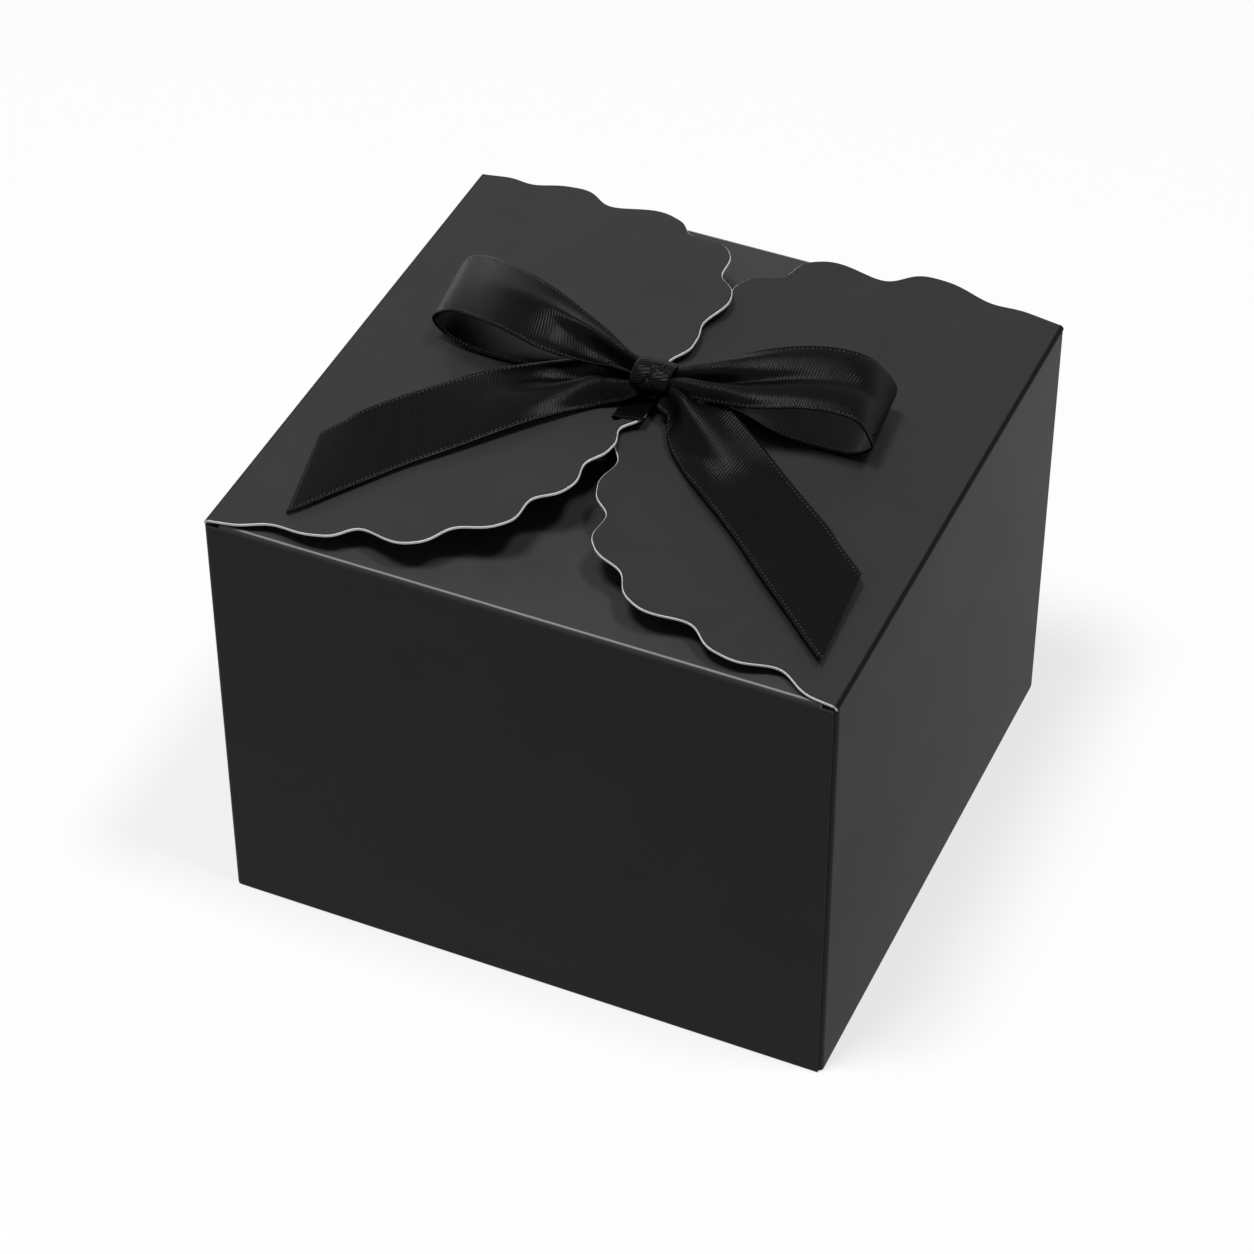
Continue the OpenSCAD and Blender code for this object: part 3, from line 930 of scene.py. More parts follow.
def smooth_rows(rows):
    """Catmull-Rom curve through rows of numbers."""
    made = []
    last = len(rows) - 1
    for i in range(last):
        a = rows[i - 1] if i else [2 * p - q for p, q in zip(rows[0], rows[1])]
        b = rows[i]
        c = rows[i + 1]
        d = rows[i + 2] if i + 2 <= last else [2 * p - q for p, q in zip(rows[-1], rows[-2])]
        for step in range(ROW_STEPS):
            t = step / ROW_STEPS
            made.append([
                0.5 * (2 * q + (r - p) * t + (2 * p - 5 * q + 4 * r - s) * t * t
                       + (3 * q - p - 3 * r + s) * t ** 3)
                for p, q, r, s in zip(a, b, c, d)])
    made.append(list(rows[-1]))
    return made


def across_shares(count):
    """Places across a sheet, from -1 at one edge to 1 at the other."""
    return [2 * j / count - 1 for j in range(count + 1)]


def neighbours(stations, i):
    """The stations before and after one, or that one itself at an end."""
    return stations[max(i - 1, 0)], stations[min(i + 1, len(stations) - 1)]


def pleat_depth(share, pleats):
    """Depth of the pleats that gather the ribbon to a share of its width."""
    return ribbon_settings().width * share / (math.pi * pleats) * math.sqrt(1 / share - 1)


def ribbon_grid(rows, side, reach, pleats, phase, lean):
    """Grid of a loop or tail: a list of rows of (place, (across, along)).

    A row holds the share of the reach, y and lift in millimetres, the width's turn in plan
    and rise in degrees, its share of the ribbon's width, and the arch across it in
    millimetres. Width that is gathered in goes into pleats, which lean toward one edge.
    """
    width = ribbon_settings().width
    start = (KNOT_LOW.x if side < 0 else KNOT_HIGH.x) + side * KNOT_GAP
    stations = []
    for share, y, lift, turn, rise, part, arch in smooth_rows(rows):
        x = start + side * share * reach
        centre = Vector((x, KNOT_MID.y + y * MM, flap_plane(x) + lift * MM))
        turn = math.radians(turn)
        rise = math.radians(rise)
        over = Vector((math.sin(turn) * math.cos(rise), math.cos(turn) * math.cos(rise),
                       math.sin(rise)))
        stations.append((centre, over, part, arch * MM))
    grid = []
    length = 0.0
    for i, (centre, over, part, arch) in enumerate(stations):
        before, after = neighbours(stations, i)
        along = (after[0] - before[0]).normalized()
        up = along.cross(over).normalized()
        if i:
            length += (centre - before[0]).length
        snug = min(part, FLAT_SHARE)
        depth = 2 * pleat_depth(snug, pleats) * min(1.0, (1 - snug) / PLEAT_FADE)
        row = []
        for u in across_shares(ACROSS):
            wave = math.pi * pleats * (u + 1) / 2 + phase
            fold = depth * math.cos(wave + lean * math.sin(wave))
            fold += arch * (1 - u * u)
            point = centre + over * (u * part * width / 2) + up * fold
            slip = (over * (u * part * width / 2)).dot(along)
            row.append((point, (u * width / 2, length + slip)))
        grid.append(row)
    return grid


def ribbon_mesh(name, grid, closed=False):
    """Sheet through a grid, with its flat coordinates in metres."""
    build = bmesh.new()
    flat = build.loops.layers.uv.new("flat")
    columns = len(grid[0])
    vertices = [[build.verts.new(point) for point, _ in row] for row in grid]
    rows = len(grid)
    for i in range(rows if closed else rows - 1):
        k = (i + 1) % rows
        for j in range(columns - 1):
            corners = ((i, j), (i, j + 1), (k, j + 1), (k, j))
            face = build.faces.new([vertices[a][b] for a, b in corners])
            face.smooth = True
            for loop, (a, b) in zip(face.loops, corners):
                across, along = grid[a][b][1]
                if closed and a == 0 and i == rows - 1:
                    along += grid[-1][b][1][1] + (grid[1][b][1][1] - grid[0][b][1][1])
                loop[flat].uv = (across, along)
    return mesh_from(name, build, satin_material())


def ribbon_piece(node, name, grid, body, closed=False):
    """Ribbon sheet with its thickness, in place of a node."""
    piece = new_piece(name, ribbon_mesh(name, grid, closed))
    thick = piece.modifiers.new("thickness", "SOLIDIFY")
    thick.thickness = ribbon_settings().thickness
    thick.offset = 0.0
    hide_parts(node)
    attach(piece, body)


def edge_lines(grid):
    """The two lines along which the selvedge stitches run."""
    inset = ribbon_settings().stitch_inset
    width = ribbon_settings().width
    lines = []
    for end in (-1, 1):
        target = end * (width / 2 - inset)
        line = []
        for row in grid:
            for (a, (u, _)), (b, (w, _)) in zip(row, row[1:]):
                if u <= target <= w:
                    line.append(a.lerp(b, (target - u) / (w - u)))
                    break
        lines.append(line)
    return lines


# ---- selvedge stitches ----

STITCH_CLEAR = 1.5 * MM         # from the knot's side to the first stitch
STITCH_SPREAD = (0.85, 1.15)    # smallest and largest size of a stitch
STITCH_SEED = 7


def stitch_tree():
    """Geometry nodes that set small stitches along lines."""
    tree = bpy.data.node_groups.get("selvedge_stitches")
    if tree:
        return tree
    tree = bpy.data.node_groups.new("selvedge_stitches", "GeometryNodeTree")
    tree.interface.new_socket(name="Lines", in_out="INPUT", socket_type="NodeSocketGeometry")
    for name, value in (("Pitch", 0.8 * MM), ("Length", 0.52 * MM), ("Width", 0.34 * MM),
                        ("Depth", 0.5 * MM)):
        made = tree.interface.new_socket(name=name, in_out="INPUT",
                                         socket_type="NodeSocketFloat")
        made.default_value = value
    tree.interface.new_socket(name="Thread", in_out="INPUT", socket_type="NodeSocketMaterial")
    tree.interface.new_socket(name="Stitches", in_out="OUTPUT",
                              socket_type="NodeSocketGeometry")
    new = tree.nodes.new
    taken = new("NodeGroupInput")
    given = new("NodeGroupOutput")
    curve = new("GeometryNodeMeshToCurve")
    spaced = new("GeometryNodeCurveToPoints")
    spaced.mode = "LENGTH"
    stitch = new("GeometryNodeMeshIcoSphere")
    stitch.inputs["Radius"].default_value = 0.5
    stitch.inputs["Subdivisions"].default_value = 2
    size = new("ShaderNodeCombineXYZ")
    place = new("GeometryNodeInstanceOnPoints")
    vary = new("FunctionNodeRandomValue")
    vary.data_type = "FLOAT"
    vary.inputs[2].default_value, vary.inputs[3].default_value = STITCH_SPREAD
    vary.inputs["Seed"].default_value = STITCH_SEED
    grown = new("ShaderNodeVectorMath")
    grown.operation = "SCALE"
    real = new("GeometryNodeRealizeInstances")
    smooth = new("GeometryNodeSetShadeSmooth")
    dress = new("GeometryNodeSetMaterial")
    wires = ((taken, "Lines", curve, "Mesh"), (curve, "Curve", spaced, "Curve"),
             (taken, "Pitch", spaced, "Length"), (taken, "Width", size, "X"),
             (taken, "Depth", size, "Y"), (taken, "Length", size, "Z"),
             (size, "Vector", grown, 0), (vary, 1, grown, "Scale"),
             (spaced, "Points", place, "Points"), (spaced, "Rotation", place, "Rotation"),
             (stitch, "Mesh", place, "Instance"), (grown, "Vector", place, "Scale"),
             (place, "Instances", real, "Geometry"), (real, "Geometry", smooth, "Geometry"),
             (smooth, "Geometry", dress, "Geometry"), (taken, "Thread", dress, "Material"),
             (dress, "Geometry", given, "Stitches"))
    for source, output, target, entry in wires:
        tree.links.new(source.outputs[output], target.inputs[entry])
    return tree


def set_input(modifier, name, value):
    """Sets a modifier's input by the identifier of its socket."""
    for item in modifier.node_group.interface.items_tree:
        if item.item_type == "SOCKET" and item.in_out == "INPUT" and item.name == name:
            modifier[item.identifier] = value
            return
    raise RuntimeError(f"the tree has no input named {name}")


def stitch_piece(name, lines, body):
    """Selvedge stitches along lines, as one plain mesh."""
    build = bmesh.new()
    for line in lines:
        clear = [point for point in line
                 if abs(point.x - KNOT_MID.x) >= KNOT_HALF.x + STITCH_CLEAR]
        made = [build.verts.new(point) for point in clear]
        for a, b in zip(made, made[1:]):
            build.edges.new((a, b))
    guide = new_piece(name + "_guide", mesh_from(name + "_lines", build))
    modifier = guide.modifiers.new("stitches", "NODES")
    modifier.node_group = stitch_tree()
    set_input(modifier, "Pitch", ribbon_settings().stitch_pitch)
    set_input(modifier, "Thread", stitch_material())
    graph = bpy.context.evaluated_depsgraph_get()
    made = bpy.data.meshes.new_from_object(guide.evaluated_get(graph), depsgraph=graph)
    made.name = name
    bpy.data.objects.remove(guide)
    piece = new_piece(name, made)
    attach(piece, body)


# Rows: share of the reach, y, lift above the flaps, turn, rise, share of the width, arch.
# A loop runs from the knot along its lower strand, round the end and back along the upper.
LEFT_LOOP = (
    (-0.032, 1.5, 3.7, 0, 0, 0.24, 0),
    (0, 2.0, 2.9, 0, 0, 0.28, 0),
    (0.12, 4.6, 2.1, 0, 0, 0.5, 0),
    (0.309, 8.3, 1.4, 0, 1, 0.75, 0),
    (0.582, 10.5, 1.4, -2, 2, 0.95, 0),
    (0.83, 12.9, 1.5, -4, 1, 1, 0),
    (0.964, 14.9, 2.9, -4, 1, 1, 0),
    (1.002, 14.6, 6.0, -5, 2, 1, 0),
    (0.955, 13.6, 8.7, -6, 4, 1, 0.1),
    (0.859, 12.6, 10.1, -7, 5, 1, 0.4),
    (0.65, 7.9, 11.9, -10, 11, 0.94, 0.8),
    (0.42, 4.2, 11.0, -12, 17, 0.86, 0.9),
    (0.22, 3.5, 7.9, -13, 18, 0.66, 0.5),
    (0.098, 2.2, 6.6, -6, 8, 0.5, 0),
    (0, 0.6, 5.9, 0, 0, 0.4, 0),
    (-0.032, 0.4, 5.7, 0, 0, 0.34, 0))
RIGHT_LOOP = (
    (-0.04, 1.5, 4.5, 0, 0, 0.24, 0),
    (0, 2.0, 4.0, 0, 0, 0.28, 0),
    (0.154, 7.0, 2.3, 3, 0, 0.6, 0),
    (0.326, 11.0, 1.1, 3, 0, 0.85, 0),
    (0.526, 11.0, 0.9, 2, 0, 0.97, 0),
    (0.74, 12.4, 0.6, 0, 0, 1, 0),
    (0.897, 13.2, 1.5, -2, 1, 1, 0),
    (0.98, 13.4, 3.7, -4, 2, 1, 0),
    (1, 12.1, 6.9, -6, 5, 1, 0),
    (0.931, 11.0, 11.4, -8, 8, 0.94, 0.2),
    (0.811, 9.7, 13.0, -11, 14, 0.89, 0.5),
    (0.623, 6.9, 13.2, -14, 16, 0.85, 0.8),
    (0.397, 3.0, 12.0, -15, 17, 0.77, 0.8),
    (0.194, 1.4, 9.5, -19, 11, 0.58, 0.4),
    (0.086, 0.8, 8.1, -12, 1, 0.5, 0),
    (0, 0.2, 7.0, 0, 0, 0.4, 0),
    (-0.04, 0.2, 6.5, 0, 0, 0.34, 0))
# A tail's last rows carry its slanted cut.
LEFT_TAIL = (
    (-0.03, -1.6, 4.7, 0, 0, 0.22, 0),
    (0, -2.5, 4.0, 0, 0, 0.28, 0),
    (0.072, -2.2, 3.5, -10, 0, 0.44, -0.4),
    (0.174, -2.4, 3.1, -25, 0, 0.66, -0.6),
    (0.415, -9.4, 3.4, -40, 3, 0.94, -0.5),
    (0.626, -18.5, 3.3, -44, 6, 1, 0),
    (0.796, -26.3, 3.0, -43, 7, 1, 0),
    (0.9, -32.2, 2.6, -24, 6, 1.1, 0),
    (1.004, -38.0, 2.2, -10, 5, 1.31, 0))
RIGHT_TAIL = (
    (-0.026, -1.8, 5.3, 0, 0, 0.24, 0),
    (0, -2.5, 5.1, 0, 0, 0.28, 0),
    (0.051, -3.2, 5.7, 18, 16, 0.56, -0.3),
    (0.125, -5.6, 5.3, 31, 27, 0.78, 0.4),
    (0.248, -9.1, 3.8, 44, 20, 0.87, 0.7),
    (0.393, -13.1, 2.8, 46, 4, 0.95, 0.5),
    (0.631, -20.7, 2.4, 41, 1, 0.99, 0),
    (0.815, -27.5, 2.3, 14, 2, 1.12, 0),
    (1.002, -34.3, 2.2, -3, 3, 1.38, 0))


def make_bow_sheet(side, part, rows, pleats, phase, lean):
    """A loop or tail of the bow with its selvedge stitches."""
    name = f"{side}_{part}"
    reach = getattr(ribbon_settings(), name + "_reach")
    grid = ribbon_grid(rows, -1 if side == "left" else 1, reach, pleats, phase, lean)
    ribbon_piece(name, name + "_satin", grid, "bow")
    stitch_piece(name + "_stitches", edge_lines(grid), "bow")


# Each sheet's side, part, rows and count of pleats, with their phase and lean.
LOOPS = (("left", "loop", LEFT_LOOP, 3, 0.4, 0.5), ("right", "loop", RIGHT_LOOP, 4, 0.0, 0.5))
TAILS = (("left", "tail", LEFT_TAIL, 3, 0.0, 0.4), ("right", "tail", RIGHT_TAIL, 2, 3.0, 0.4))


# ---- knot ----

KNOT_ROUND = 96
BAND_ACROSS = 72
BAND_FOLD_R = 0.25 * MM     # radius of the fold along each edge of the band
BAND_SINK = 0.2 * MM        # mean depth of the band's face below the knot's outside
BAND_DROP = 0.25 * MM       # by which the band's edges lie deeper than its middle
CORE_SIZE = 0.62            # the core's middle as a share of the knot
CORE_FLARE = 0.10           # added to that share at the core's ends
CORE_RIPPLES = ((7, 0.16, 0), (12, 0.08, 1))    # waves round the core, depth and start
CORE_END_GAP = 0.2 * MM     # from the core's end to the band's side

# Creases in the band: share of the half width, place round the knot and lean away from the
# band's run in degrees, then half length, half breadth and depth in millimetres.
BAND_CREASES = (
    (0.05, 110, -27, 1.0, 0.25, 0.45),
    (-0.20, 155, -21, 1.8, 0.26, 0.45),
    (0.00, 150, 30, 1.5, 0.22, 0.35),
    (0.60, 100, 60, 1.0, 0.30, 0.25),
    (-0.40, 20, 25, 2.5, 0.30, 0.40),
    (0.30, -30, -20, 2.5, 0.30, 0.40),
    (-0.10, -90, 15, 2.5, 0.30, 0.35))


def crease_depth(angle, share):
    """Depth of the band's creases at a place round and across the knot."""
    total = 0.0
    for middle, place, lean, length, breadth, depth in BAND_CREASES:
        lean = math.radians(lean)
        turned = (math.degrees(angle) - place + 180) % 360 - 180
        run = math.radians(turned) * KNOT_HALF.y / MM
        side = (share - middle) * KNOT_HALF.x / MM
        along = run * math.cos(lean) + side * math.sin(lean)
        away = side * math.cos(lean) - run * math.sin(lean)
        total += depth * MM * math.exp(-(away / breadth) ** 2 - (along / length) ** 4)
    return total


def band_section(across, half):
    """Distance from the band's middle and depth below its face, for the flat width."""
    turn = math.pi * BAND_FOLD_R
    run = abs(across)
    if run <= half:
        return run, 0.0
    if run <= half + turn:
        angle = (run - half) / BAND_FOLD_R
        return half + BAND_FOLD_R * math.sin(angle), BAND_FOLD_R * (1 - math.cos(angle))
    return 2 * half + turn - run, 2 * BAND_FOLD_R


def round_knot():
    """Each angle round the knot with its cosine and sine."""
    for i in range(KNOT_ROUND):
        angle = 2 * math.pi * i / KNOT_ROUND
        yield angle, math.cos(angle), math.sin(angle)


def make_band():
    """The creased band round the knot, with its edges folded under."""
    half = KNOT_HALF
    face = half.x - BAND_FOLD_R
    grid = []
    length = 0.0
    for angle, cosine, sine in round_knot():
        spoke = Vector((0, half.y * cosine, half.z * sine))
        out = Vector((0, cosine / half.y, sine / half.z)).normalized()
        row = []
        for u in across_shares(BAND_ACROSS):
            across = u * ribbon_settings().width / 2
            away, below = band_section(across, face)
            share = math.copysign(away / face, u)
            sink = BAND_SINK + below + crease_depth(angle, share) + BAND_DROP * share ** 6
            place = Vector((KNOT_MID.x + math.copysign(away, u), KNOT_MID.y, KNOT_MID.z))
            row.append((place + spoke - out * sink, (across, length)))
        grid.append(row)
        step = Vector(((half.y - BAND_SINK) * sine, (half.z - BAND_SINK) * cosine))
        length += step.length * 2 * math.pi / KNOT_ROUND
    ribbon_piece("knot_wrap", "knot_band_satin", grid, "bow",
                 closed=True)


def make_core():
    """The gathered ribbon inside the band."""
    half = KNOT_HALF
    grid = []
    for angle, cosine, sine in round_knot():
        ripple = 1 + sum(depth * math.cos(waves * angle + start)
                         for waves, depth, start in CORE_RIPPLES)
        row = []
        for u in across_shares(ACROSS):
            size = (CORE_SIZE + CORE_FLARE * u * u) * ripple
            point = KNOT_MID + Vector((u * (half.x - CORE_END_GAP), half.y * size * cosine,
                                       half.z * size * sine))
            row.append((point, (u * half.x, angle * half.y)))
        grid.append(row)
    ribbon_piece("knot_core", "knot_core_satin", grid, "bow",
                 closed=True)


# ---- straps under the flaps ----

STRAP_GAP = 0.3 * MM    # from the middle of the box to a strap's inner end
STRAP_PLEATS = 5
STRAP_PLEAT_SHARE = 0.7

# Rows of the straps in millimetres, each with its share of the ribbon's width at the end.
# Under the flap, on both sides: x before the slot and height.
STRAP_UNDER = ((0.6, 0.0, 1.0), (0.1, 0.5, 1.0))
# In the left and the right slot: height above the run under the flap.
LEFT_IN_SLOT = (1.6, 1.0)
RIGHT_IN_SLOT = (2.0, 0.98)
# Over the left flap: x past the slot and height above the flap's face, and at the strap's end
# x before the knot, y toward the back and height.
LEFT_OVER = ((0, -0.5, 1.0), (0.3, 0.25, 1.0), (1.0, 0.22, 1.0), (3.2, 0.22, 1.0),
             (5.6, 0.22, 0.99))
LEFT_END = (0.1, 0.3, 0.22, 0.96)
# Over the right flap: x past the slot, y toward the front and depth below the strap's top, and
# at its end y toward the front.
RIGHT_OVER = ((0, 0.6, 1.4, 0.86), (0.2, 1.0, 0.5, 0.76), (0.9, 1.4, 0, 0.66))
RIGHT_END = (1.8, 0.56)


def strap_rows(side, low, high):
    """Rows of a strap in metres, from its box: x, y, z and its share of the ribbon's width."""
    middle = (low.y + high.y) / 2
    half = ribbon_settings().thickness / 2
    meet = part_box("ribbon_strap_left")[1].x
    under = STRAP_Z + half
    slot_x = low.x + half if side < 0 else high.x - half
    rows = [(side * STRAP_GAP, middle, under, 1.0), (slot_x / 2, middle, under, 1.0)]
    rows += [(slot_x - side * before * MM, middle, under + rise * MM, share)
             for before, rise, share in STRAP_UNDER]
    rise, share = LEFT_IN_SLOT if side < 0 else RIGHT_IN_SLOT
    rows.append((slot_x, middle, under + rise * MM, share))
    if side < 0:
        slope = math.tan(card_settings().left_tilt)
        face = TOP_Z + (slot_x + HALF_W) * slope
        rows += [(slot_x + past * MM, middle, face + (past * slope + rise) * MM, share)
                 for past, rise, share in LEFT_OVER]
        before, behind, rise, share = LEFT_END
        end = TOP_Z + (meet + HALF_W) * slope + rise * MM
        rows.append((meet - before * MM, middle + behind * MM, end, share))
    else:
        top = high.z - half
        rows += [(slot_x - past * MM, middle - front * MM, top - deep * MM, share)
                 for past, front, deep, share in RIGHT_OVER]
        front, share = RIGHT_END
        rows.append((meet + 2 * half, middle - front * MM, top, share))
    return rows


def make_strap(flap, side):
    """The ribbon's run under a flap, up through its slot and over to the knot."""
    width = ribbon_settings().width
    grid = []
    length = 0.0
    stations = smooth_rows(strap_rows(side, *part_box("ribbon_strap_" + flap)))
    for i, (x, y, z, share) in enumerate(stations):
        before, after = neighbours(stations, i)
        along = Vector((after[0] - before[0], 0, after[2] - before[2])).normalized()
        up = along.cross(Vector((0, 1, 0)))
        if i:
            length += (Vector((x, y, z)) - Vector(before[:3])).length
        depth = STRAP_PLEAT_SHARE * pleat_depth(min(share, FLAT_SHARE), STRAP_PLEATS)
        row = []
        for u in across_shares(ACROSS):
            fold = depth * math.cos(math.pi * STRAP_PLEATS * (u + 1) / 2)
            point = Vector((x, y + u * share * width / 2, z)) + up * fold
            row.append((point, (u * width / 2, length)))
        grid.append(row)
    ribbon_piece("ribbon_strap_" + flap, "ribbon_strap_" + flap + "_satin", grid,
                 flap + "_outer_flap")


# ---- stage ----

def shown_rays(tree):
    """1 for the rays that show the room: from the camera, mirrored or through glass."""
    path = tree.nodes.new("ShaderNodeLightPath")
    seen = maths(tree, "MAXIMUM", path.outputs["Is Camera Ray"], path.outputs["Is Glossy Ray"])
    return maths(tree, "MAXIMUM", seen, path.outputs["Is Transmission Ray"])


FLOOR_NOISE_SCALE = 3.0
FLOOR_ROUGHNESS = 0.9
FLOOR_LEVEL = 0.1           # of the highlights


def floor_material():
    """Pale floor that keeps shadows and shows white behind the object."""
    material, tree, shader = bare_material("studio_floor")
    stage = stage_settings()
    place = tree.nodes.new("ShaderNodeTexCoord")
    spread = noise(tree, place.outputs["Object"], FLOOR_NOISE_SCALE)
    colour = tuple(stage.floor_colour)
    tree.links.new(blended_colour(tree, spread, scaled(colour, 0.995), colour),
                   shader.inputs["Base Color"])
    shader.inputs["Roughness"].default_value = FLOOR_ROUGHNESS
    shader.inputs["Specular IOR Level"].default_value = FLOOR_LEVEL
    glow = tree.nodes.new("ShaderNodeEmission")
    tree.links.new(maths(tree, "MULTIPLY", shown_rays(tree), stage.floor_lift),
                   glow.inputs["Strength"])
    both = tree.nodes.new("ShaderNodeAddShader")
    tree.links.new(shader.outputs["BSDF"], both.inputs[0])
    tree.links.new(glow.outputs["Emission"], both.inputs[1])
    tree.links.new(both.outputs["Shader"], tree.nodes["Material Output"].inputs["Surface"])
    return material


def area_lamp(name, place, target, size, power):
    """Soft rectangular lamp that faces a point."""
    lamp = bpy.data.lights.new(name, "AREA")
    lamp.shape = "RECTANGLE"
    lamp.size, lamp.size_y = size
    lamp.energy = power
    holder = bpy.data.objects.new(name, lamp)
    holder.location = place
    holder.rotation_euler = (Vector(target) - Vector(place)).to_track_quat("-Z", "Y").to_euler()
    bpy.context.scene.collection.objects.link(holder)


CAMERA_TARGET = Vector((-1.0, -6.3, 45.5)) * MM
CAMERA_SENSOR = 36          # millimetres
CAMERA_CLIP = (0.01, 50)    # metres
FLOOR_HALF = 6.0        # metres
FLOOR_CORNERS = ((-1, -1), (1, -1), (1, 1), (-1, 1))

# Each lamp's name, place, size and the height of the point that it faces.
LAMPS = (("key", (-0.30, -0.50, 2.4), (0.55, 0.55), 0.06),
         ("back", (-1.1, 0.9, 0.5), (0.6, 0.5), 0.1),
         ("sheen", (0.62, 0.0, 2.0), (0.35, 0.3), 0.1))


def make_floor():
    """Wide floor under the box."""
    mesh = bpy.data.meshes.new("studio_floor")
    corners = [(x * FLOOR_HALF, y * FLOOR_HALF, 0) for x, y in FLOOR_CORNERS]
    mesh.from_pydata(corners, [], [(0, 1, 2, 3)])
    mesh.materials.append(floor_material())
    new_piece("studio_floor", mesh)


def make_backdrop():
    """White room that gives little light of its own."""
    world = bpy.data.worlds.new("studio_light")
    world.use_nodes = True
    tree = world.node_tree
    background = tree.nodes["Background"]
    strength = stage_settings().sky_strength
    lifted = maths(tree, "MULTIPLY", shown_rays(tree), 1.0 - strength)
    tree.links.new(maths(tree, "ADD", lifted, strength), background.inputs["Strength"])
    background.inputs["Color"].default_value = (1, 1, 1, 1)
    bpy.context.scene.world = world


def make_camera():
    """Camera in front, above and to the right of the box."""
    stage = stage_settings()
    camera = bpy.data.cameras.new("camera")
    camera.lens = stage.lens
    camera.sensor_width = CAMERA_SENSOR
    camera.clip_start, camera.clip_end = CAMERA_CLIP
    holder = bpy.data.objects.new("camera", camera)
    azimuth = stage.camera_azimuth
    elevation = stage.camera_elevation
    back = Vector((math.sin(azimuth) * math.cos(elevation),
                   -math.cos(azimuth) * math.cos(elevation), math.sin(elevation)))
    holder.location = CAMERA_TARGET + back * stage.camera_distance
    facing = (-back).to_track_quat("-Z", "Y").to_matrix().to_4x4()
    turn = facing @ Matrix.Rotation(-stage.camera_roll, 4, UP)
    holder.rotation_euler = turn.to_euler()
    bpy.context.scene.collection.objects.link(holder)
    bpy.context.scene.camera = holder
    bpy.context.scene.view_settings.view_transform = "Standard"


# ---- operators and panel ----

class GIFTBOX_OT_stage(bpy.types.Operator):
    """Make the floor, the lamps and the camera"""

    bl_idname = "giftbox.stage"
    bl_label = "Stage"

    def execute(self, context):
        make_floor()
        make_backdrop()
        for name, place, size, aim in LAMPS:
            power = getattr(stage_settings(), name + "_power")
            area_lamp(name + "_lamp", place, (0, 0, aim), size, power)
        make_camera()
        return {"FINISHED"}


class GIFTBOX_OT_walls(bpy.types.Operator):
    """Make the carton's walls and glue tab"""

    bl_idname = "giftbox.walls"
    bl_label = "Walls"

    def execute(self, context):
        make_walls()
        return {"FINISHED"}


class GIFTBOX_OT_bottom(bpy.types.Operator):
    """Make the four bottom panels"""

    bl_idname = "giftbox.bottom"
    bl_label = "Bottom panels"

    def execute(self, context):
        make_bottom()
        return {"FINISHED"}


class GIFTBOX_OT_inner_flaps(bpy.types.Operator):
    """Make the plain front and back flaps with their creases"""

    bl_idname = "giftbox.inner_flaps"
    bl_label = "Inner flaps"

    def execute(self, context):
        make_inner_flaps()
        return {"FINISHED"}


class GIFTBOX_OT_scalloped_flaps(bpy.types.Operator):
    """Make the scalloped left and right flaps with their creases"""

    bl_idname = "giftbox.scalloped_flaps"
    bl_label = "Scalloped flaps"

    def execute(self, context):
        make_scalloped_flaps()
        return {"FINISHED"}


class GIFTBOX_OT_straps(bpy.types.Operator):
    """Make the ribbon's runs under the flaps"""

    bl_idname = "giftbox.straps"
    bl_label = "Ribbon straps"

    def execute(self, context):
        make_strap("left", -1)
        make_strap("right", 1)
        return {"FINISHED"}


class GIFTBOX_OT_knot(bpy.types.Operator):
    """Make the knot's band and the gathered ribbon inside it"""

    bl_idname = "giftbox.knot"
    bl_label = "Knot"

    def execute(self, context):
        make_band()
        make_core()
        return {"FINISHED"}


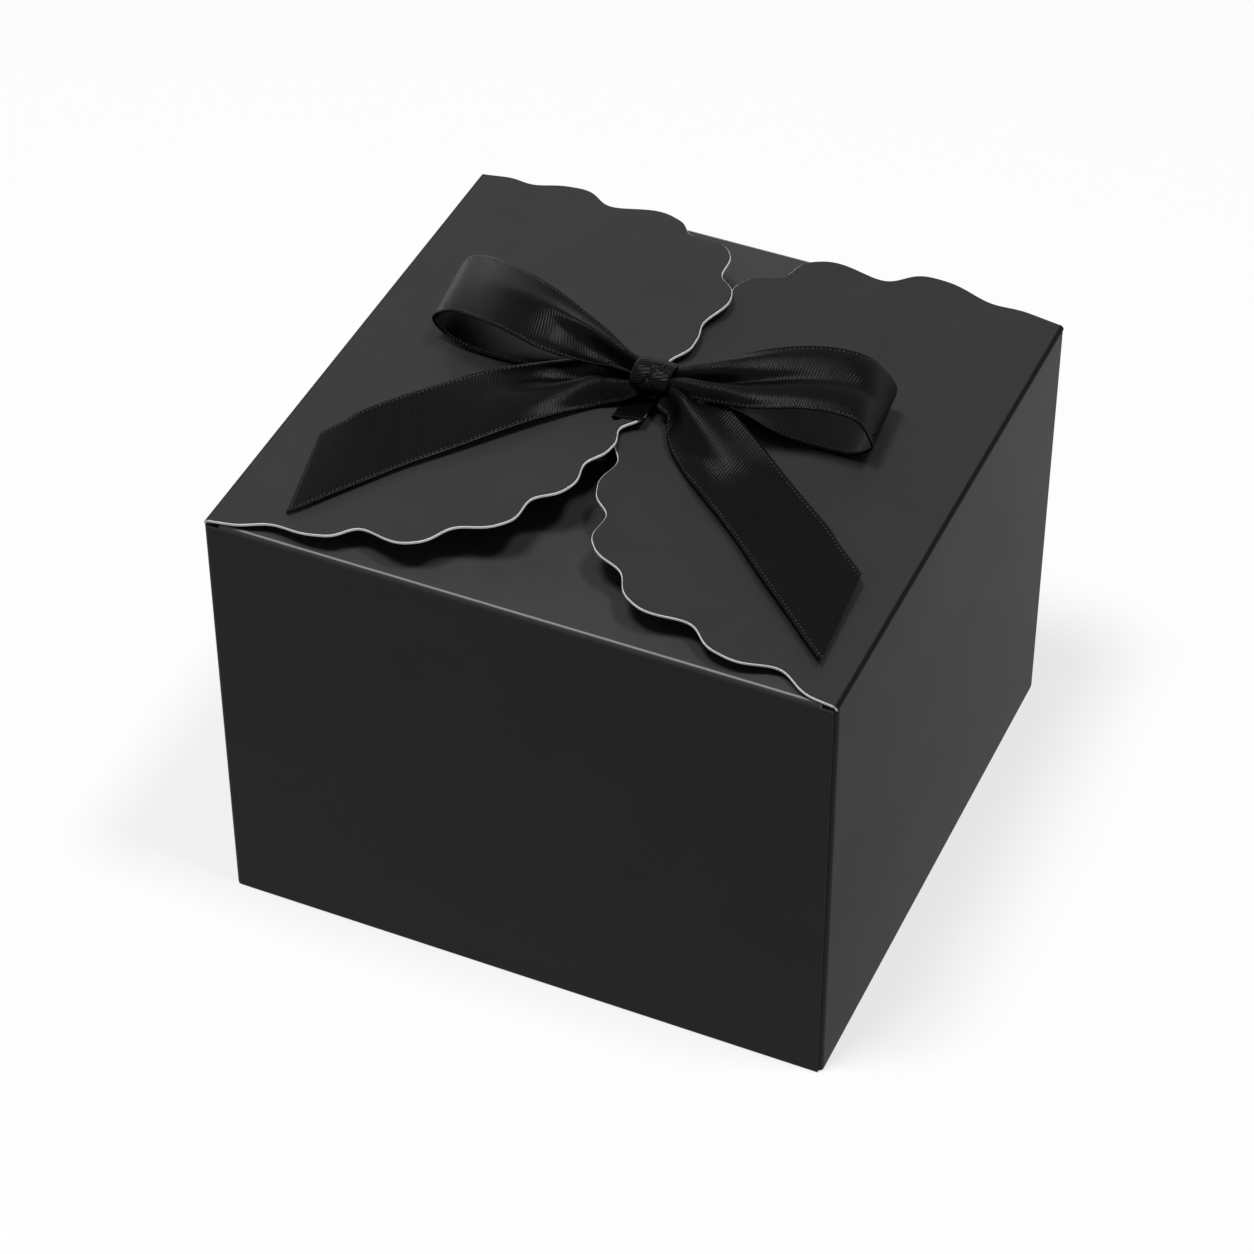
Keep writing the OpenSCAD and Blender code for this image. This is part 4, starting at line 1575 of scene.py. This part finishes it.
class GIFTBOX_OT_loops(bpy.types.Operator):
    """Make the bow's loops with their selvedge stitches"""

    bl_idname = "giftbox.loops"
    bl_label = "Loops"

    def execute(self, context):
        for sheet in LOOPS:
            make_bow_sheet(*sheet)
        return {"FINISHED"}


class GIFTBOX_OT_tails(bpy.types.Operator):
    """Make the bow's tails with their selvedge stitches"""

    bl_idname = "giftbox.tails"
    bl_label = "Tails"

    def execute(self, context):
        for sheet in TAILS:
            make_bow_sheet(*sheet)
        return {"FINISHED"}


OPERATORS = (GIFTBOX_OT_stage, GIFTBOX_OT_walls, GIFTBOX_OT_bottom, GIFTBOX_OT_inner_flaps,
             GIFTBOX_OT_scalloped_flaps, GIFTBOX_OT_straps, GIFTBOX_OT_knot,
             GIFTBOX_OT_loops, GIFTBOX_OT_tails)
SETTINGS = (("gift_box_card", GiftBoxCard), ("gift_box_ribbon", GiftBoxRibbon),
            ("gift_box_stage", GiftBoxStage))


class GIFTBOX_PT_panel(bpy.types.Panel):
    """Lists the gift box's pieces and settings"""

    bl_idname = "GIFTBOX_PT_panel"
    bl_label = "Gift Box"
    bl_space_type = "VIEW_3D"
    bl_region_type = "UI"
    bl_category = "Gift Box"

    def draw(self, context):
        for operator in OPERATORS:
            self.layout.operator(operator.bl_idname)
        for name, group in SETTINGS:
            box = self.layout.box()
            box.label(text=group.__doc__)
            for key in group.__annotations__:
                box.prop(getattr(context.scene, name), key)


def register():
    """Registers the settings, the operators and the panel."""
    for name, group in SETTINGS:
        bpy.utils.register_class(group)
        setattr(bpy.types.Scene, name, bpy.props.PointerProperty(type=group))
    for operator in OPERATORS:
        bpy.utils.register_class(operator)
    bpy.utils.register_class(GIFTBOX_PT_panel)


def unregister():
    """Takes the panel, the operators and the settings away again."""
    bpy.utils.unregister_class(GIFTBOX_PT_panel)
    for operator in reversed(OPERATORS):
        bpy.utils.unregister_class(operator)
    for name, group in reversed(SETTINGS):
        delattr(bpy.types.Scene, name)
        bpy.utils.unregister_class(group)


def main():
    """Makes every piece."""
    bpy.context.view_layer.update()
    register()
    for operator in OPERATORS:
        group, name = operator.bl_idname.split(".")
        getattr(getattr(bpy.ops, group), name)()


if __name__ == "__main__":
    main()
